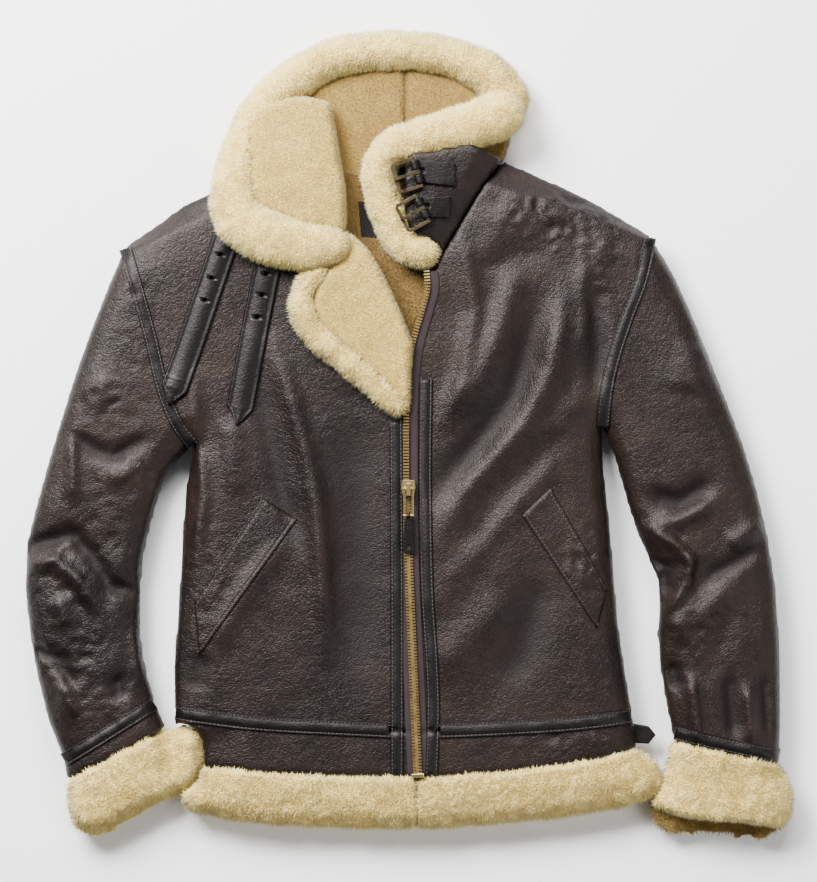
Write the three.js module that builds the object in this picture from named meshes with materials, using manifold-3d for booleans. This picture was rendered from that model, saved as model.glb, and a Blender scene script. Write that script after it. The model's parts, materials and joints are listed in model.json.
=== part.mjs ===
// A shearling coat laid flat on its back: dark leather outside, cream wool inside, fastened by a zip.
// Left and right are the wearer's. +X is the wearer's left, +Y the collar, +Z up; sizes in millimetres.
import * as THREE from "three";
import Module from "manifold-3d";

const wasm = await Module();
wasm.setup();

// Driving sizes
const seamGap = 0.3; // clear gap between neighbouring pieces
const layerMeet = 22; // height where the wool of the back layer meets the wool of the front layer
const frontTop = 45; // height of the leather over the middle of the front
const edgeHalf = 3; // half the thickness at the very edge of the outline
const edgeRound = 36; // how far in from the edge the two layers round over
const tapeThick = 2.4; // stitched leather tape on a seam
const strapWide = 27; // long collar straps
const strapThick = 3.2; // two layers of leather, stitched
const wireThick = 3.2; // wire of the buckles

// Edges of the coat as laid, each from the collar or the armhole downwards: x, y.
const rightSleeveOuter = [
  [-285, 192], [-306, 143], [-329, 83], [-348, 23], [-366, -37],
  [-382, -97], [-387, -127], [-385, -157], [-378, -217], [-364, -277], [-346, -322],
];
const rightSleeveInner = [
  [-216, -7], [-229, -22], [-243, -37], [-253, -67], [-261, -97],
  [-267, -127], [-268, -157], [-268, -202], [-263, -232], [-254, -264],
];
const leftSleeveOuter = [
  [240, 203], [260, 173], [287, 113], [311, 53], [334, -7],
  [352, -67], [364, -127], [369, -187], [371, -247], [371, -307], [369, -323],
];
const leftSleeveInner = [
  [192, 10], [201, -10], [209, -37], [217, -67], [227, -97],
  [241, -127], [249, -147], [246, -202], [249, -232], [256, -268], [263, -300],
];
const rightSide = [[-216, -7], [-225, -52], [-229, -112], [-232, -172], [-237, -217], [-236, -272]];
const leftSide = [[192, 10], [193, -22], [200, -82], [205, -142], [209, -190], [218, -247], [223, -276]];
const rightArmhole = [[-285, 192], [-272, 150], [-258, 100], [-246, 50], [-232, 15], [-216, -7]];
const leftArmhole = [[240, 203], [230, 158], [215, 118], [202, 78], [195, 45], [192, 10]];
const rightShoulder = [[-285, 192], [-268, 203], [-247, 218], [-226, 233], [-185, 250], [-140, 262]];
const leftShoulder = [[93, 278], [131, 261], [166, 246], [190, 233], [215, 218], [240, 203]];
const collarTop = [
  [-199, 233], [-193, 262], [-186, 288], [-173, 313], [-158, 338], [-135, 363], [-106, 383], [-74, 400],
  [-10, 407], [52, 400], [84, 383], [100, 373], [119, 353], [124, 330], [113, 308], [99, 293], [93, 278],
];
const hemFurEdge = [
  [-236, -318], [-238, -345], [-222, -374], [-160, -384], [-80, -389], [6, -391], [70, -387],
  [150, -379], [208, -370], [245, -359], [258, -340], [248, -322], [228, -309],
];
const rightCuffFurEdge = [
  [-344, -343], [-345, -368], [-335, -392], [-317, -400], [-285, -391], [-263, -376], [-232, -358],
  [-211, -346], [-203, -316], [-207, -295], [-224, -285], [-243, -289],
];
const leftCuffFurEdge = [
  [264, -313], [252, -345], [240, -372], [252, -394], [280, -405], [320, -407], [355, -402],
  [375, -387], [386, -367], [380, -345], [369, -331],
];

// The closed outline of the whole coat, from which both layers round over.
const outline = [
  ...rightShoulder.slice(0, 4), ...collarTop, ...leftShoulder.slice(1), ...leftSleeveOuter.slice(1),
  ...leftCuffFurEdge.slice().reverse(), ...leftSleeveInner.slice().reverse(), ...leftSide.slice(1),
  ...hemFurEdge.slice().reverse(), ...rightSide.slice().reverse(), ...rightSleeveInner.slice(1),
  ...rightCuffFurEdge.slice().reverse(), ...rightSleeveOuter.slice().reverse().slice(0, -1),
];

// The largest folds of the leather: start x and y, end x and y, half width, height.
const folds = [
  [-125, 150, -80, -122, 22, 3],
  [-165, 30, -150, 120, 18, -2],
  [90, 220, 30, -162, 20, 4],
  [62, 170, 26, -80, 15, -2.5],
  [150, 108, 60, -202, 20, 3],
  [118, 180, 46, -180, 14, -3],
  [-380, -107, -300, -122, 10, -4],
  [-335, -82, -270, -162, 9, -3],
  [240, -122, 310, -202, 10, -4],
  [290, -122, 360, -162, 9, -3],
];

function nearest(x, y, ax, ay, bx, by) {
  const size = (bx - ax) ** 2 + (by - ay) ** 2;
  const share = Math.min(1, Math.max(0, ((x - ax) * (bx - ax) + (y - ay) * (by - ay)) / size));
  return Math.hypot(x - ax - (bx - ax) * share, y - ay - (by - ay) * share);
}

function fromEdge(x, y) {
  let best = Infinity;
  outline.forEach(([ax, ay], i) => {
    const [bx, by] = outline[(i + 1) % outline.length];
    if (ax !== bx || ay !== by) best = Math.min(best, nearest(x, y, ax, ay, bx, by));
  });
  return best;
}

// 0 at the outline, 1 once well inside it.
function fullness(x, y) {
  const share = Math.min(1, fromEdge(x, y) / edgeRound);
  return Math.sqrt(1 - (1 - share) ** 2.4);
}

function foldHeight(x, y) {
  let sum = 0;
  for (const [ax, ay, bx, by, half, height] of folds) {
    sum += height * Math.exp(-((nearest(x, y, ax, ay, bx, by) / half) ** 2));
  }
  return sum;
}

// Heights of the coat's upper leather face and of its under face.
function upper(x, y) {
  const full = fullness(x, y);
  return layerMeet + edgeHalf + (frontTop - layerMeet - edgeHalf + foldHeight(x, y)) * full;
}

function under(x, y) {
  return (layerMeet - edgeHalf) * (1 - fullness(x, y));
}

// Shares of a line at which its points are set: even, or closer at one or both ends.
const even = (count) => Array.from({ length: count + 1 }, (_, i) => i / count);
const bothEnds = (count) => even(count).map((t) => (1 - Math.cos(Math.PI * t)) / 2);
const nearStart = (count) => even(count).map((t) => 1 - Math.cos((Math.PI * t) / 2));
const nearEnd = (count) => even(count).map((t) => Math.sin((Math.PI * t) / 2));

function lengths(points) {
  const sums = [0];
  for (let i = 1; i < points.length; i += 1) {
    sums.push(sums[i - 1] + Math.hypot(points[i][0] - points[i - 1][0], points[i][1] - points[i - 1][1]));
  }
  return sums;
}

function along(points, shares) {
  const sums = lengths(points);
  return shares.map((share) => {
    const want = share * sums[sums.length - 1];
    let i = 1;
    while (i < sums.length - 1 && sums[i] < want) i += 1;
    const part = (want - sums[i - 1]) / (sums[i] - sums[i - 1]);
    return points[i].map((value, k) => points[i - 1][k] + (value - points[i - 1][k]) * part);
  });
}

// A net of plan points filling the space between four edges that share their corners.
function net(left, right, low, high) {
  const share = (a, b) => {
    const [p, q] = [lengths(a), lengths(b)];
    return p.map((value, i) => (value / p[p.length - 1] + q[i] / q[q.length - 1]) / 2);
  };
  const rowAt = share(left, right);
  const columnAt = share(low, high);
  const [rows, columns] = [left.length - 1, low.length - 1];
  return left.map((_, i) => low.map((__, j) => {
    if (i === 0) return low[j];
    if (i === rows) return high[j];
    if (j === 0) return left[i];
    if (j === columns) return right[i];
    return [0, 1].map((k) => {
      const [t, s] = [rowAt[i], columnAt[j]];
      const corners = (1 - s) * (1 - t) * low[0][k] + s * (1 - t) * low[columns][k]
        + (1 - s) * t * high[0][k] + s * t * high[columns][k];
      return (1 - s) * left[i][k] + s * right[i][k] + (1 - t) * low[j][k] + t * high[j][k] - corners;
    });
  }));
}

// The net with its four edges drawn in by half a seam gap; each point keeps its old place for its height.
function drawnIn(grid, by = seamGap / 2) {
  const [rows, columns] = [grid.length - 1, grid[0].length - 1];
  const unit = ([x, y]) => [x / Math.hypot(x, y), y / Math.hypot(x, y)];
  const across = (a, b, towards) => {
    const [dx, dy] = unit([b[0] - a[0], b[1] - a[1]]);
    return towards[0] * -dy + towards[1] * dx > 0 ? [-dy, dx] : [dy, -dx];
  };
  return grid.map((row, i) => row.map(([x, y], j) => {
    let [mx, my] = [0, 0];
    if (j === 0 || j === columns) {
      const inner = row[j === 0 ? 1 : columns - 1];
      const n = across(grid[Math.max(0, i - 1)][j], grid[Math.min(rows, i + 1)][j], [inner[0] - x, inner[1] - y]);
      mx += n[0] * by;
      my += n[1] * by;
    }
    if (i === 0 || i === rows) {
      const inner = grid[i === 0 ? 1 : rows - 1][j];
      const n = across(row[Math.max(0, j - 1)], row[Math.min(columns, j + 1)], [inner[0] - x, inner[1] - y]);
      mx += n[0] * by;
      my += n[1] * by;
    }
    return [x + mx, y + my, x, y];
  }));
}

function solid(points, faces) {
  return new wasm.Manifold(new wasm.Mesh({
    numProp: 3,
    vertProperties: new Float32Array(points.flat()),
    triVerts: new Uint32Array(faces.flat()),
  }));
}

// A wall over a net, between two heights; a height is a function of x and y, or a number for a flat face.
function wall(grid, high, low) {
  const [rows, columns] = [grid.length - 1, grid[0].length - 1];
  const rim = [];
  for (let j = 0; j < columns; j += 1) rim.push([0, j]);
  for (let i = 0; i < rows; i += 1) rim.push([i, columns]);
  for (let j = columns; j > 0; j -= 1) rim.push([rows, j]);
  for (let i = rows; i > 0; i -= 1) rim.push([i, 0]);
  const flat = rim.map(([i, j]) => new THREE.Vector2(grid[i][j][0], grid[i][j][1]));
  const turned = THREE.ShapeUtils.isClockWise(flat);
  const points = [];
  const faces = [];
  const face = (a, b, c, flip) => faces.push(flip ? [a, c, b] : [a, b, c]);
  const side = (height, facesDown) => {
    const index = new Map();
    const place = (i, j) => {
      const key = i * (columns + 1) + j;
      if (!index.has(key)) {
        const [x, y, heightX = x, heightY = y] = grid[i][j];
        index.set(key, points.length);
        points.push([x, y, typeof height === "number" ? height : height(heightX, heightY)]);
      }
      return index.get(key);
    };
    if (typeof height === "number") {
      const order = turned ? flat.map((_, k) => flat.length - 1 - k) : flat.map((_, k) => k);
      const corners = THREE.ShapeUtils.triangulateShape(order.map((k) => flat[k]), []);
      for (const [a, b, c] of corners) {
        const [pa, pb, pc] = [a, b, c].map((k) => place(...rim[order[k]]));
        face(pa, pb, pc, facesDown);
      }
    } else {
      for (let i = 0; i < rows; i += 1) {
        for (let j = 0; j < columns; j += 1) {
          const [a, b, c, d] = [place(i, j), place(i, j + 1), place(i + 1, j + 1), place(i + 1, j)];
          face(a, b, c, facesDown !== turned);
          face(a, c, d, facesDown !== turned);
        }
      }
    }
    return rim.map(([i, j]) => place(i, j));
  };
  const top = side(high, false);
  const base = side(low, true);
  top.forEach((a, k) => {
    const next = (k + 1) % top.length;
    face(base[k], base[next], top[next], turned);
    face(base[k], top[next], a, turned);
  });
  return solid(points, faces);
}

// A round or oval roll along a path. Path rows: x, y, height of the middle, half width, half height.
function roll(path, sections, sides, { grow = 0, floor = 0, lumps = 0 } = {}) {
  const line = new THREE.CatmullRomCurve3(path.map(([x, y, z]) => new THREE.Vector3(x, y, z)), false, "centripetal");
  const sizes = along(path.map(([x, y, , wide, high]) => [x, y, wide, high]), even(sections));
  const rings = sizes.map(([, , wide, high], i) => {
    const swell = 1 + lumps * Math.sin(i * 2.4);
    const middle = line.getPointAt(i / sections);
    const ahead = line.getTangentAt(i / sections).setZ(0).normalize();
    return { middle, ahead, wide: wide * swell + grow, high: high * swell + grow };
  });
  const first = rings[0];
  const last = rings[rings.length - 1];
  const closing = (ring, sign) => [
    { ...ring, middle: ring.middle.clone().addScaledVector(ring.ahead, sign * ring.wide * 0.6), size: 0.75 },
    { ...ring, middle: ring.middle.clone().addScaledVector(ring.ahead, sign * ring.wide * 0.9), size: 0.3 },
  ];
  const all = [...closing(first, -1).reverse(), ...rings, ...closing(last, 1)];
  const points = [];
  const faces = [];
  for (const { middle, ahead, wide, high, size = 1 } of all) {
    for (let k = 0; k < sides; k += 1) {
      const angle = (2 * Math.PI * k) / sides;
      const out = Math.cos(angle) * wide * size;
      const z = Math.max(floor - grow, middle.z + Math.sin(angle) * high * size);
      points.push([middle.x - ahead.y * out, middle.y + ahead.x * out, z]);
    }
  }
  for (let i = 0; i < all.length - 1; i += 1) {
    for (let k = 0; k < sides; k += 1) {
      const [a, b] = [i * sides + k, i * sides + ((k + 1) % sides)];
      faces.push([a, b, a + sides], [b, b + sides, a + sides]);
    }
  }
  for (let k = 1; k < sides - 1; k += 1) {
    const end = (all.length - 1) * sides;
    faces.push([0, k + 1, k], [end, end + k, end + k + 1]);
  }
  return solid(points, faces);
}

const pieces = new Map();

// Adds a piece; what it would share with its neighbours is cut from it, and stray crumbs are dropped.
function add(name, made, ...cutters) {
  const cut = cutters.reduce((left, cutter) => left.subtract(cutter), made);
  pieces.set(name, cut.decompose().sort((a, b) => b.volume() - a.volume())[0]);
}

const turnedRound = (points) => points.slice().reverse();
const shift = (line, by) => line.map(([x, y]) => [x + by, y]);
const join = (...parts) => parts.flatMap((part, i) => (i === 0 ? part : part.slice(1)));

// Body panels: seams in common with the sleeves, the hem and the collar share their points.
const hemSeam = [[-236, -274], [-150, -284], [-60, -289], [7, -292], [40, -291], [150, -285], [223, -277]];
const furLine = [
  [-236, -318], [-210, -328], [-110, -335], [-20, -337], [7, -338], [30, -337], [110, -331], [190, -319], [228, -309],
];
const zipLine = [[7, -292], [4, -250], [-2, -117], [-3, 23]];
const rollLine = [[-3, 23], [0, 95], [-22, 148], [-44, 188], [-66, 205], [-100, 235], [-140, 262]];
const zipCurve = [[-3, 23], [-2, 50], [2, 88], [13, 128], [18, 148], [17, 166], [28, 176]];
const collarSeam = [[28, 176], [48, 210], [70, 248], [93, 278]];
const neckSeam = [[-140, 262], [-60, 260], [10, 263], [93, 278]];

const armRight = along(rightArmhole, bothEnds(8));
const armLeft = along(leftArmhole, bothEnds(8));
const bodyRight = join(along(turnedRound(rightSide), even(6)), turnedRound(armRight));
const bodyLeft = join(along(turnedRound(leftSide), even(6)), turnedRound(armLeft));
const zipPoints = along(zipLine, even(7));
const collarSeamPoints = along(collarSeam, even(4));
const neckSeamPoints = along(neckSeam, even(5));

const frontRightNet = net(
  bodyRight,
  join(zipPoints, along(rollLine, even(7))),
  along(hemSeam.slice(0, 4), nearStart(8)),
  along(rightShoulder, nearStart(8)),
);
const frontLeftNet = net(
  join(zipPoints, along(zipCurve, even(3)), collarSeamPoints),
  bodyLeft,
  along(hemSeam.slice(3), nearEnd(8)),
  along(leftShoulder, nearEnd(8)),
);
const backNet = net(
  bodyRight,
  bodyLeft,
  along(hemSeam, bothEnds(11)),
  join(along(rightShoulder, nearStart(3)), neckSeamPoints, along(leftShoulder, nearEnd(3))),
);
const frontBase = layerMeet + seamGap / 2;
const backTop = layerMeet - seamGap / 2;
add("back", wall(drawnIn(backNet), backTop, under));
add("front_right", wall(drawnIn(frontRightNet), upper, frontBase));
add("front_left", wall(drawnIn(frontLeftNet), upper, frontBase));

// Sleeves: upper and under halves, from the cuff up to the armhole.
const rightCuffSeam = [[-346, -322], [-254, -264]];
const rightCuffLine = [[-344, -343], [-243, -289]];
const leftCuffLine = [[263, -302], [369, -325]];
const rightSleeveNet = net(
  turnedRound(along(rightSleeveOuter, even(12))),
  turnedRound(along(rightSleeveInner, even(12))),
  along(rightCuffSeam, bothEnds(8)),
  armRight,
);
const leftSleeveNet = net(
  turnedRound(along([...leftSleeveInner.slice(0, -1), leftCuffLine[0]], even(12))),
  turnedRound(along([...leftSleeveOuter.slice(0, -1), leftCuffLine[1]], even(12))),
  along(leftCuffLine, bothEnds(8)),
  turnedRound(armLeft),
);
const bandNet = net(
  [rightCuffLine[0], rightCuffSeam[0]],
  [rightCuffLine[1], rightCuffSeam[1]],
  along(rightCuffLine, bothEnds(8)),
  along(rightCuffSeam, bothEnds(8)),
);
for (const [name, grid] of [["sleeve_right", rightSleeveNet], ["sleeve_left", leftSleeveNet], ["cuff_band_right", bandNet]]) {
  add(`${name}_upper`, wall(drawnIn(grid), upper, frontBase));
  add(`${name}_under`, wall(drawnIn(grid), backTop, under));
}

// Wool stands higher than the leather it is turned over.
const woolRise = 4;
const woolUpper = (x, y) => upper(x, y) + woolRise * fullness(x, y);

// Cuffs: the wool turned out, upper and under halves, with the mouth between them.
const rightCuffNet = net(
  along([[-335, -392], [-345, -368], rightCuffLine[0]], even(4)),
  along([[-211, -346], [-203, -316], [-207, -295]], even(4)),
  along([[-335, -392], [-317, -400], [-285, -391], [-263, -376], [-232, -358], [-211, -346]], bothEnds(8)),
  join(along(rightCuffLine, even(6)), [rightCuffLine[1], [-224, -285], [-207, -295]]),
);
const leftCuffSides = [
  along([[240, -366], [252, -345], leftCuffLine[0]], even(4)),
  along([[375, -387], [386, -367], [380, -345], leftCuffLine[1]], even(4)),
];
const leftCuffTop = along(leftCuffLine, bothEnds(8));
const leftCuffUpperNet = net(
  ...leftCuffSides,
  along([[240, -366], [262, -374], [300, -380], [335, -380], [360, -386], [375, -387]], bothEnds(8)),
  leftCuffTop,
);
const leftCuffUnderNet = net(
  ...leftCuffSides,
  along([[240, -366], [240, -380], [252, -394], [280, -405], [320, -407], [355, -402], [375, -387]], bothEnds(8)),
  leftCuffTop,
);
const rightMouth = roll([[-255, -400, 22, 38, 6], [-275, -362, 22, 36, 6], [-289, -330, 22, 28, 4]], 3, 10);
const leftMouth = roll([[303, -416, 22, 44, 8], [308, -372, 22, 42, 7], [314, -335, 22, 32, 4]], 3, 10);
add("cuff_fur_right_upper", wall(drawnIn(rightCuffNet), woolUpper, frontBase), rightMouth);
add("cuff_fur_right_under", wall(drawnIn(rightCuffNet), backTop, under), rightMouth);
add("cuff_fur_left_upper", wall(drawnIn(leftCuffUpperNet), woolUpper, frontBase), leftMouth);
add("cuff_fur_left_under", wall(drawnIn(leftCuffUnderNet), backTop, under), leftMouth);

// Hem: leather panel below the seam, then its wool edge; the right cuff pushes their corner aside.
const rightCuffSpace = wall(drawnIn(rightCuffNet, -seamGap), 90, -5);
const leftCuffSpace = wall(drawnIn(leftCuffUnderNet, -seamGap), 90, -5);
const hemRightNet = net(
  along([[-236, -318], [-236, -274]], even(2)),
  along([[7, -338], [7, -292]], even(2)),
  along(furLine.slice(0, 5), nearStart(8)),
  along(hemSeam.slice(0, 4), nearStart(8)),
);
const hemLeftNet = net(
  along([[7, -338], [7, -292]], even(2)),
  along([[228, -309], [223, -277]], even(2)),
  along(furLine.slice(4), nearEnd(8)),
  along(hemSeam.slice(3), nearEnd(8)),
);
const hemBackNet = net(
  along([[-236, -318], [-236, -274]], even(2)),
  along([[228, -309], [223, -277]], even(2)),
  join(along(furLine.slice(0, 5), nearStart(8)), along(furLine.slice(4), nearEnd(8))),
  join(along(hemSeam.slice(0, 4), nearStart(8)), along(hemSeam.slice(3), nearEnd(8))),
);
const furRightEnd = [[-222, -374], [-238, -345], [-236, -318]];
const furLeftEnd = [[245, -359], [258, -340], [248, -322], [228, -309]];
const furMiddle = [[6, -391], [7, -338]];
const furLow = [[-222, -374], [-160, -384], [-80, -389], [6, -391], [70, -387], [150, -379], [208, -370], [245, -359]];
const furRightNet = net(
  along(furRightEnd, nearStart(4)),
  along(furMiddle, nearStart(4)),
  along(furLow.slice(0, 4), nearStart(8)),
  along(furLine.slice(0, 5), nearStart(8)),
);
const furLeftNet = net(
  along(furMiddle, nearStart(4)),
  along(furLeftEnd, nearStart(4)),
  along(furLow.slice(3), nearEnd(8)),
  along(furLine.slice(4), nearEnd(8)),
);
const furBackNet = net(
  along(furRightEnd, nearStart(4)),
  along(furLeftEnd, nearStart(4)),
  join(along(furLow.slice(0, 4), nearStart(8)), along(furLow.slice(3), nearEnd(8))),
  join(along(furLine.slice(0, 5), nearStart(8)), along(furLine.slice(4), nearEnd(8))),
);
add("hem_right", wall(drawnIn(hemRightNet), upper, frontBase), rightCuffSpace);
add("hem_left", wall(drawnIn(hemLeftNet), upper, frontBase));
add("hem_back", wall(drawnIn(hemBackNet), backTop, under), rightCuffSpace);
add("hem_fur_right", wall(drawnIn(furRightNet), woolUpper, frontBase), rightCuffSpace);
add("hem_fur_left", wall(drawnIn(furLeftNet), woolUpper, frontBase), leftCuffSpace);
add("hem_fur_back", wall(drawnIn(furBackNet), backTop, under), rightCuffSpace, leftCuffSpace);

// What lies on the leather follows its facets: one body of all the upper leather, to cut and lift.
const leather = [frontRightNet, frontLeftNet, rightSleeveNet, leftSleeveNet, bandNet, hemRightNet, hemLeftNet]
  .map((grid) => wall(grid, upper, layerMeet - 2))
  .reduce((all, one) => all.add(one));

// A layer over a net, from one height above the leather to another.
function laid(grid, from, to, ground = leather) {
  return wall(grid, 120, 1).intersect(ground.translate([0, 0, to])).subtract(ground.translate([0, 0, from]));
}

// The net of a strip along a line, with one width or a width for each point.
function stripNet(line, width) {
  return line.map(([x, y], i) => {
    const [a, b] = [line[Math.max(0, i - 1)], line[Math.min(line.length - 1, i + 1)]];
    const size = Math.hypot(b[0] - a[0], b[1] - a[1]);
    const half = (Array.isArray(width) ? width[i] : width) / 2;
    const [nx, ny] = [(-(b[1] - a[1]) / size) * half, ((b[0] - a[0]) / size) * half];
    return [[x + nx, y + ny], [x - nx, y - ny]];
  });
}

// A flat plate with the given corners, between two heights.
function plate(corners, low, high) {
  const flat = corners.map(([x, y]) => new THREE.Vector2(x, y));
  const order = THREE.ShapeUtils.isClockWise(flat) ? turnedRound(corners) : corners;
  const count = order.length;
  const faces = [];
  for (const [a, b, c] of THREE.ShapeUtils.triangulateShape(order.map(([x, y]) => new THREE.Vector2(x, y)), [])) {
    faces.push([a + count, b + count, c + count], [a, c, b]);
  }
  order.forEach((_, i) => {
    const next = (i + 1) % count;
    faces.push([i, next, next + count], [i, next + count, i + count]);
  });
  return solid([...order.map(([x, y]) => [x, y, low]), ...order.map(([x, y]) => [x, y, high])], faces);
}

const circle = (x, y, radius, sides) => even(sides).slice(0, -1)
  .map((t) => [x + radius * Math.cos(2 * Math.PI * t), y + radius * Math.sin(2 * Math.PI * t)]);

// Tapes over the seams, pocket welts and the strips beside the zip, in the layer next to the leather.
const tapeLayer = [seamGap, seamGap + tapeThick];
const hemAt = (x) => {
  const i = Math.max(1, hemSeam.findIndex(([px]) => px >= x));
  const [[ax, ay], [bx, by]] = [hemSeam[i - 1], hemSeam[i]];
  return [x, ay + ((by - ay) * (x - ax)) / (bx - ax)];
};
const stripRightLine = [[-14, 16], [-14, -120], [-13, -250], [-13, -342]];
const stripLeftLine = along([[16, 58], [15, -42], [17, -150], [23, -255], [21, -342]], even(6));
const cuffTapeLeftLine = [[264, -294], [316, -306], [369, -317]];
const welts = {
  right: [[-147, -59], [-112, -81], [-210, -217], [-215, -162]],
  left: [[111, -77], [140, -49], [197, -150], [186, -190]],
};
const onLeather = {
  armhole_tape_right: stripNet(along(rightArmhole, even(7).map((t) => 0.015 + t * 0.95)), 13),
  armhole_tape_left: stripNet(along(leftArmhole, even(7).map((t) => 0.015 + t * 0.95)), 13),
  hem_tape_right: stripNet([-232, -150, -60, -22].map(hemAt), 15),
  hem_tape_left: stripNet([31, 40, 150, 220].map(hemAt), 15),
  cuff_tape_right: stripNet([[-345, -321], [-300, -293], [-255, -265]], 14),
  cuff_tape_left: stripNet(cuffTapeLeftLine, 14),
  strip_right: stripNet(along(stripRightLine, even(5)), 13),
  strip_left: stripNet(stripLeftLine, 13),
};
for (const [name, grid] of Object.entries(onLeather)) add(name, laid(grid, ...tapeLayer));
for (const [side, [a, b, c, d]] of Object.entries(welts)) add(`welt_${side}`, laid([[a, b], [d, c]], ...tapeLayer));

// Zip: tapes, one open row of teeth above the slider, the closed chain below it.
const tapeTop = seamGap + 1.3;
const teethTop = tapeTop + seamGap + 2.6;
const zipBelow = along([[-3, 14], [-2, -117], [4, -250], [8, -338]], even(4));
const zipAbove = along([[-3, 14], ...zipCurve.slice(0, -1)], even(6));
const openTeeth = along([[-0.6, -41], [-0.6, 23], ...shift(zipCurve.slice(1, -1), 2.4)], even(7));
const besideRight = along(shift(stripRightLine, 6.5 + seamGap), even(4));
const tapeRightNet = zipBelow.map(([x, y], i) => [besideRight[i], [x - seamGap / 2, y]]);
const zipWhole = [...turnedRound(zipAbove), ...zipBelow.slice(1)];
const besideLeft = (y) => {
  const i = Math.max(1, stripLeftLine.findIndex(([, py]) => py <= y));
  const [[ax, ay], [bx, by]] = [stripLeftLine[i - 1], stripLeftLine[i]];
  return ax + ((bx - ax) * (y - ay)) / (by - ay) - 6.5 - 2 * seamGap;
};
const tapeLeftNet = zipWhole.map(([x, y]) => {
  const far = y > 58 ? x + 7 : besideLeft(y);
  return [[x + seamGap / 2, y], [far, y]];
});
add("zip_tape_right", laid(tapeRightNet, seamGap, tapeTop));
add("zip_tape_left", laid(tapeLeftNet, seamGap, tapeTop));
const chainLine = along([[-2, -60], [-1.6, -117], [4, -250], [7.6, -333]], even(4));
add("zip_teeth_open", laid(stripNet(openTeeth, 4.6), tapeTop + seamGap, teethTop));
add("zip_chain", laid(stripNet(chainLine, 10), tapeTop + seamGap, teethTop));
add("zip_stop", laid(stripNet([[7.6, -333.4], [7.8, -337.7]], 12), tapeTop + seamGap, teethTop + 0.6));

// Collar: wool inside at the back, the right half open with its wool up, the left half leather out.
const rimBackPath = [
  [-78, 190, 60, 19, 15], [-110, 190, 61, 25, 16], [-140, 199, 62, 27, 17], [-168, 214, 61, 26, 17],
  [-176, 240, 56, 22, 17], [-171, 268, 46, 21, 18], [-164, 293, 35, 21, 19], [-152, 318, 26, 21, 20],
  [-135, 341, 22, 21, 20], [-110, 362, 21, 20, 20], [-76, 380, 20, 19, 20], [-40, 387, 20, 19, 20],
  [-10, 388, 20, 19, 20], [30, 384, 20, 19, 20], [60, 374, 20, 20, 20], [85, 358, 20, 21, 20], [99, 338, 20, 21, 20],
];
const rimLeftPath = [
  [92, 322, 47, 23, 17], [70, 313, 44, 23, 19], [40, 304, 42, 22, 19], [10, 297, 42, 20, 19],
  [-17, 289, 40.5, 18, 17.5], [-31, 272, 40.5, 16, 17.5], [-29, 248, 40.5, 16, 17.5], [-22, 223, 40.5, 17, 17.5],
  [-10, 200, 41.5, 19, 17.5], [3, 188, 44, 19, 17], [13, 185, 46, 17, 15],
];
const trimPath = [
  [-88, 170, 56, 11, 10], [-102, 152, 57, 13, 11], [-107, 128, 57, 13, 11], [-97, 107, 57, 13, 11],
  [-78, 89, 57, 13, 11], [-58, 72, 57, 12, 11], [-38, 55, 56, 12, 10], [-20, 38, 55, 11, 9], [-12, 30, 54, 9, 8],
];
const rimBack = (grow) => roll(rimBackPath, 26, 12, { grow, lumps: 0.03 });
const rimLeft = (grow) => roll(rimLeftPath, 18, 12, { grow, floor: frontBase, lumps: 0.03 });
const trim = (grow) => roll(trimPath, 12, 10, { grow, lumps: 0.05 });
const neckRim = leather.translate([0, 0, seamGap]);

const collarBackNet = net(
  along([[-140, 262], [-160, 300], [-140, 345]], even(3)),
  along([[93, 278], [100, 300], [98, 345]], even(3)),
  neckSeamPoints,
  along([[-140, 345], [-80, 385], [-10, 390], [50, 378], [98, 345]], even(5)),
);
const labelCorners = [[-52, 237], [6, 233], [3, 198], [-49, 201]];
const label = plate(labelCorners, frontBase, frontBase + 0.9);
const labelSpace = plate(
  labelCorners.map(([x, y]) => [x + Math.sign(x + 23) * seamGap, y + Math.sign(y - 217) * seamGap]),
  layerMeet - 2,
  frontBase + 0.9 + seamGap,
);
const collarLeftTop = (x, y) => {
  const share = Math.min(1, Math.max(0, nearest(x, y, 28, 176, 93, 278) / 34));
  return 45.5 + 12 * Math.sin((share * Math.PI) / 2);
};
const collarLeftNet = net(
  along([[-4, 205], [-6, 240], [-4, 300]], even(4)),
  collarSeamPoints,
  along([[-4, 205], [10, 186], [28, 176]], even(4)),
  along([[-4, 300], [40, 302], [93, 278]], even(4)),
);
const collarRightTop = (x, y) => {
  const share = Math.min(1, Math.max(0, (y - 235) / 95));
  return 63 - 16 * share ** 1.5 - 5 * Math.max(0, (x + 92) / 24);
};
const collarRightNet = net(
  along([[-135, 196], [-172, 240], [-166, 290], [-150, 325]], even(5)),
  along([[-68, 196], [-66, 235], [-75, 285], [-82, 332]], even(5)),
  along([[-135, 196], [-68, 196]], even(3)),
  along([[-150, 325], [-115, 338], [-82, 332]], even(3)),
);
const lapelTop = (x, y) => {
  const share = Math.min(1, nearest(x, y, -66, 206, -4, 28) / 26);
  return upper(x, y) + 6 + 9 * Math.sqrt(share);
};
const lapelNet = net(
  along([[-14, 22], [-50, 60], [-90, 98], [-108, 128], [-104, 160]], even(6)),
  along([[-3, 27], [-1, 95], [-23, 148], [-45, 188], [-66, 206]], even(6)),
  [[-14, 22], [-8, 24], [-3, 27]],
  along([[-104, 160], [-86, 188], [-66, 206]], even(2)),
);
add("rim_back", rimBack(0), neckRim);
add("rim_left", rimLeft(0), rimBack(seamGap), labelSpace, neckRim);
const rims = [rimBack(seamGap), rimLeft(seamGap)];
add("collar_back", wall(drawnIn(collarBackNet), backTop, 0), rims[0]);
add("label", label);
add("collar_left", wall(drawnIn(collarLeftNet), collarLeftTop, frontBase), ...rims, labelSpace);
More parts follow.
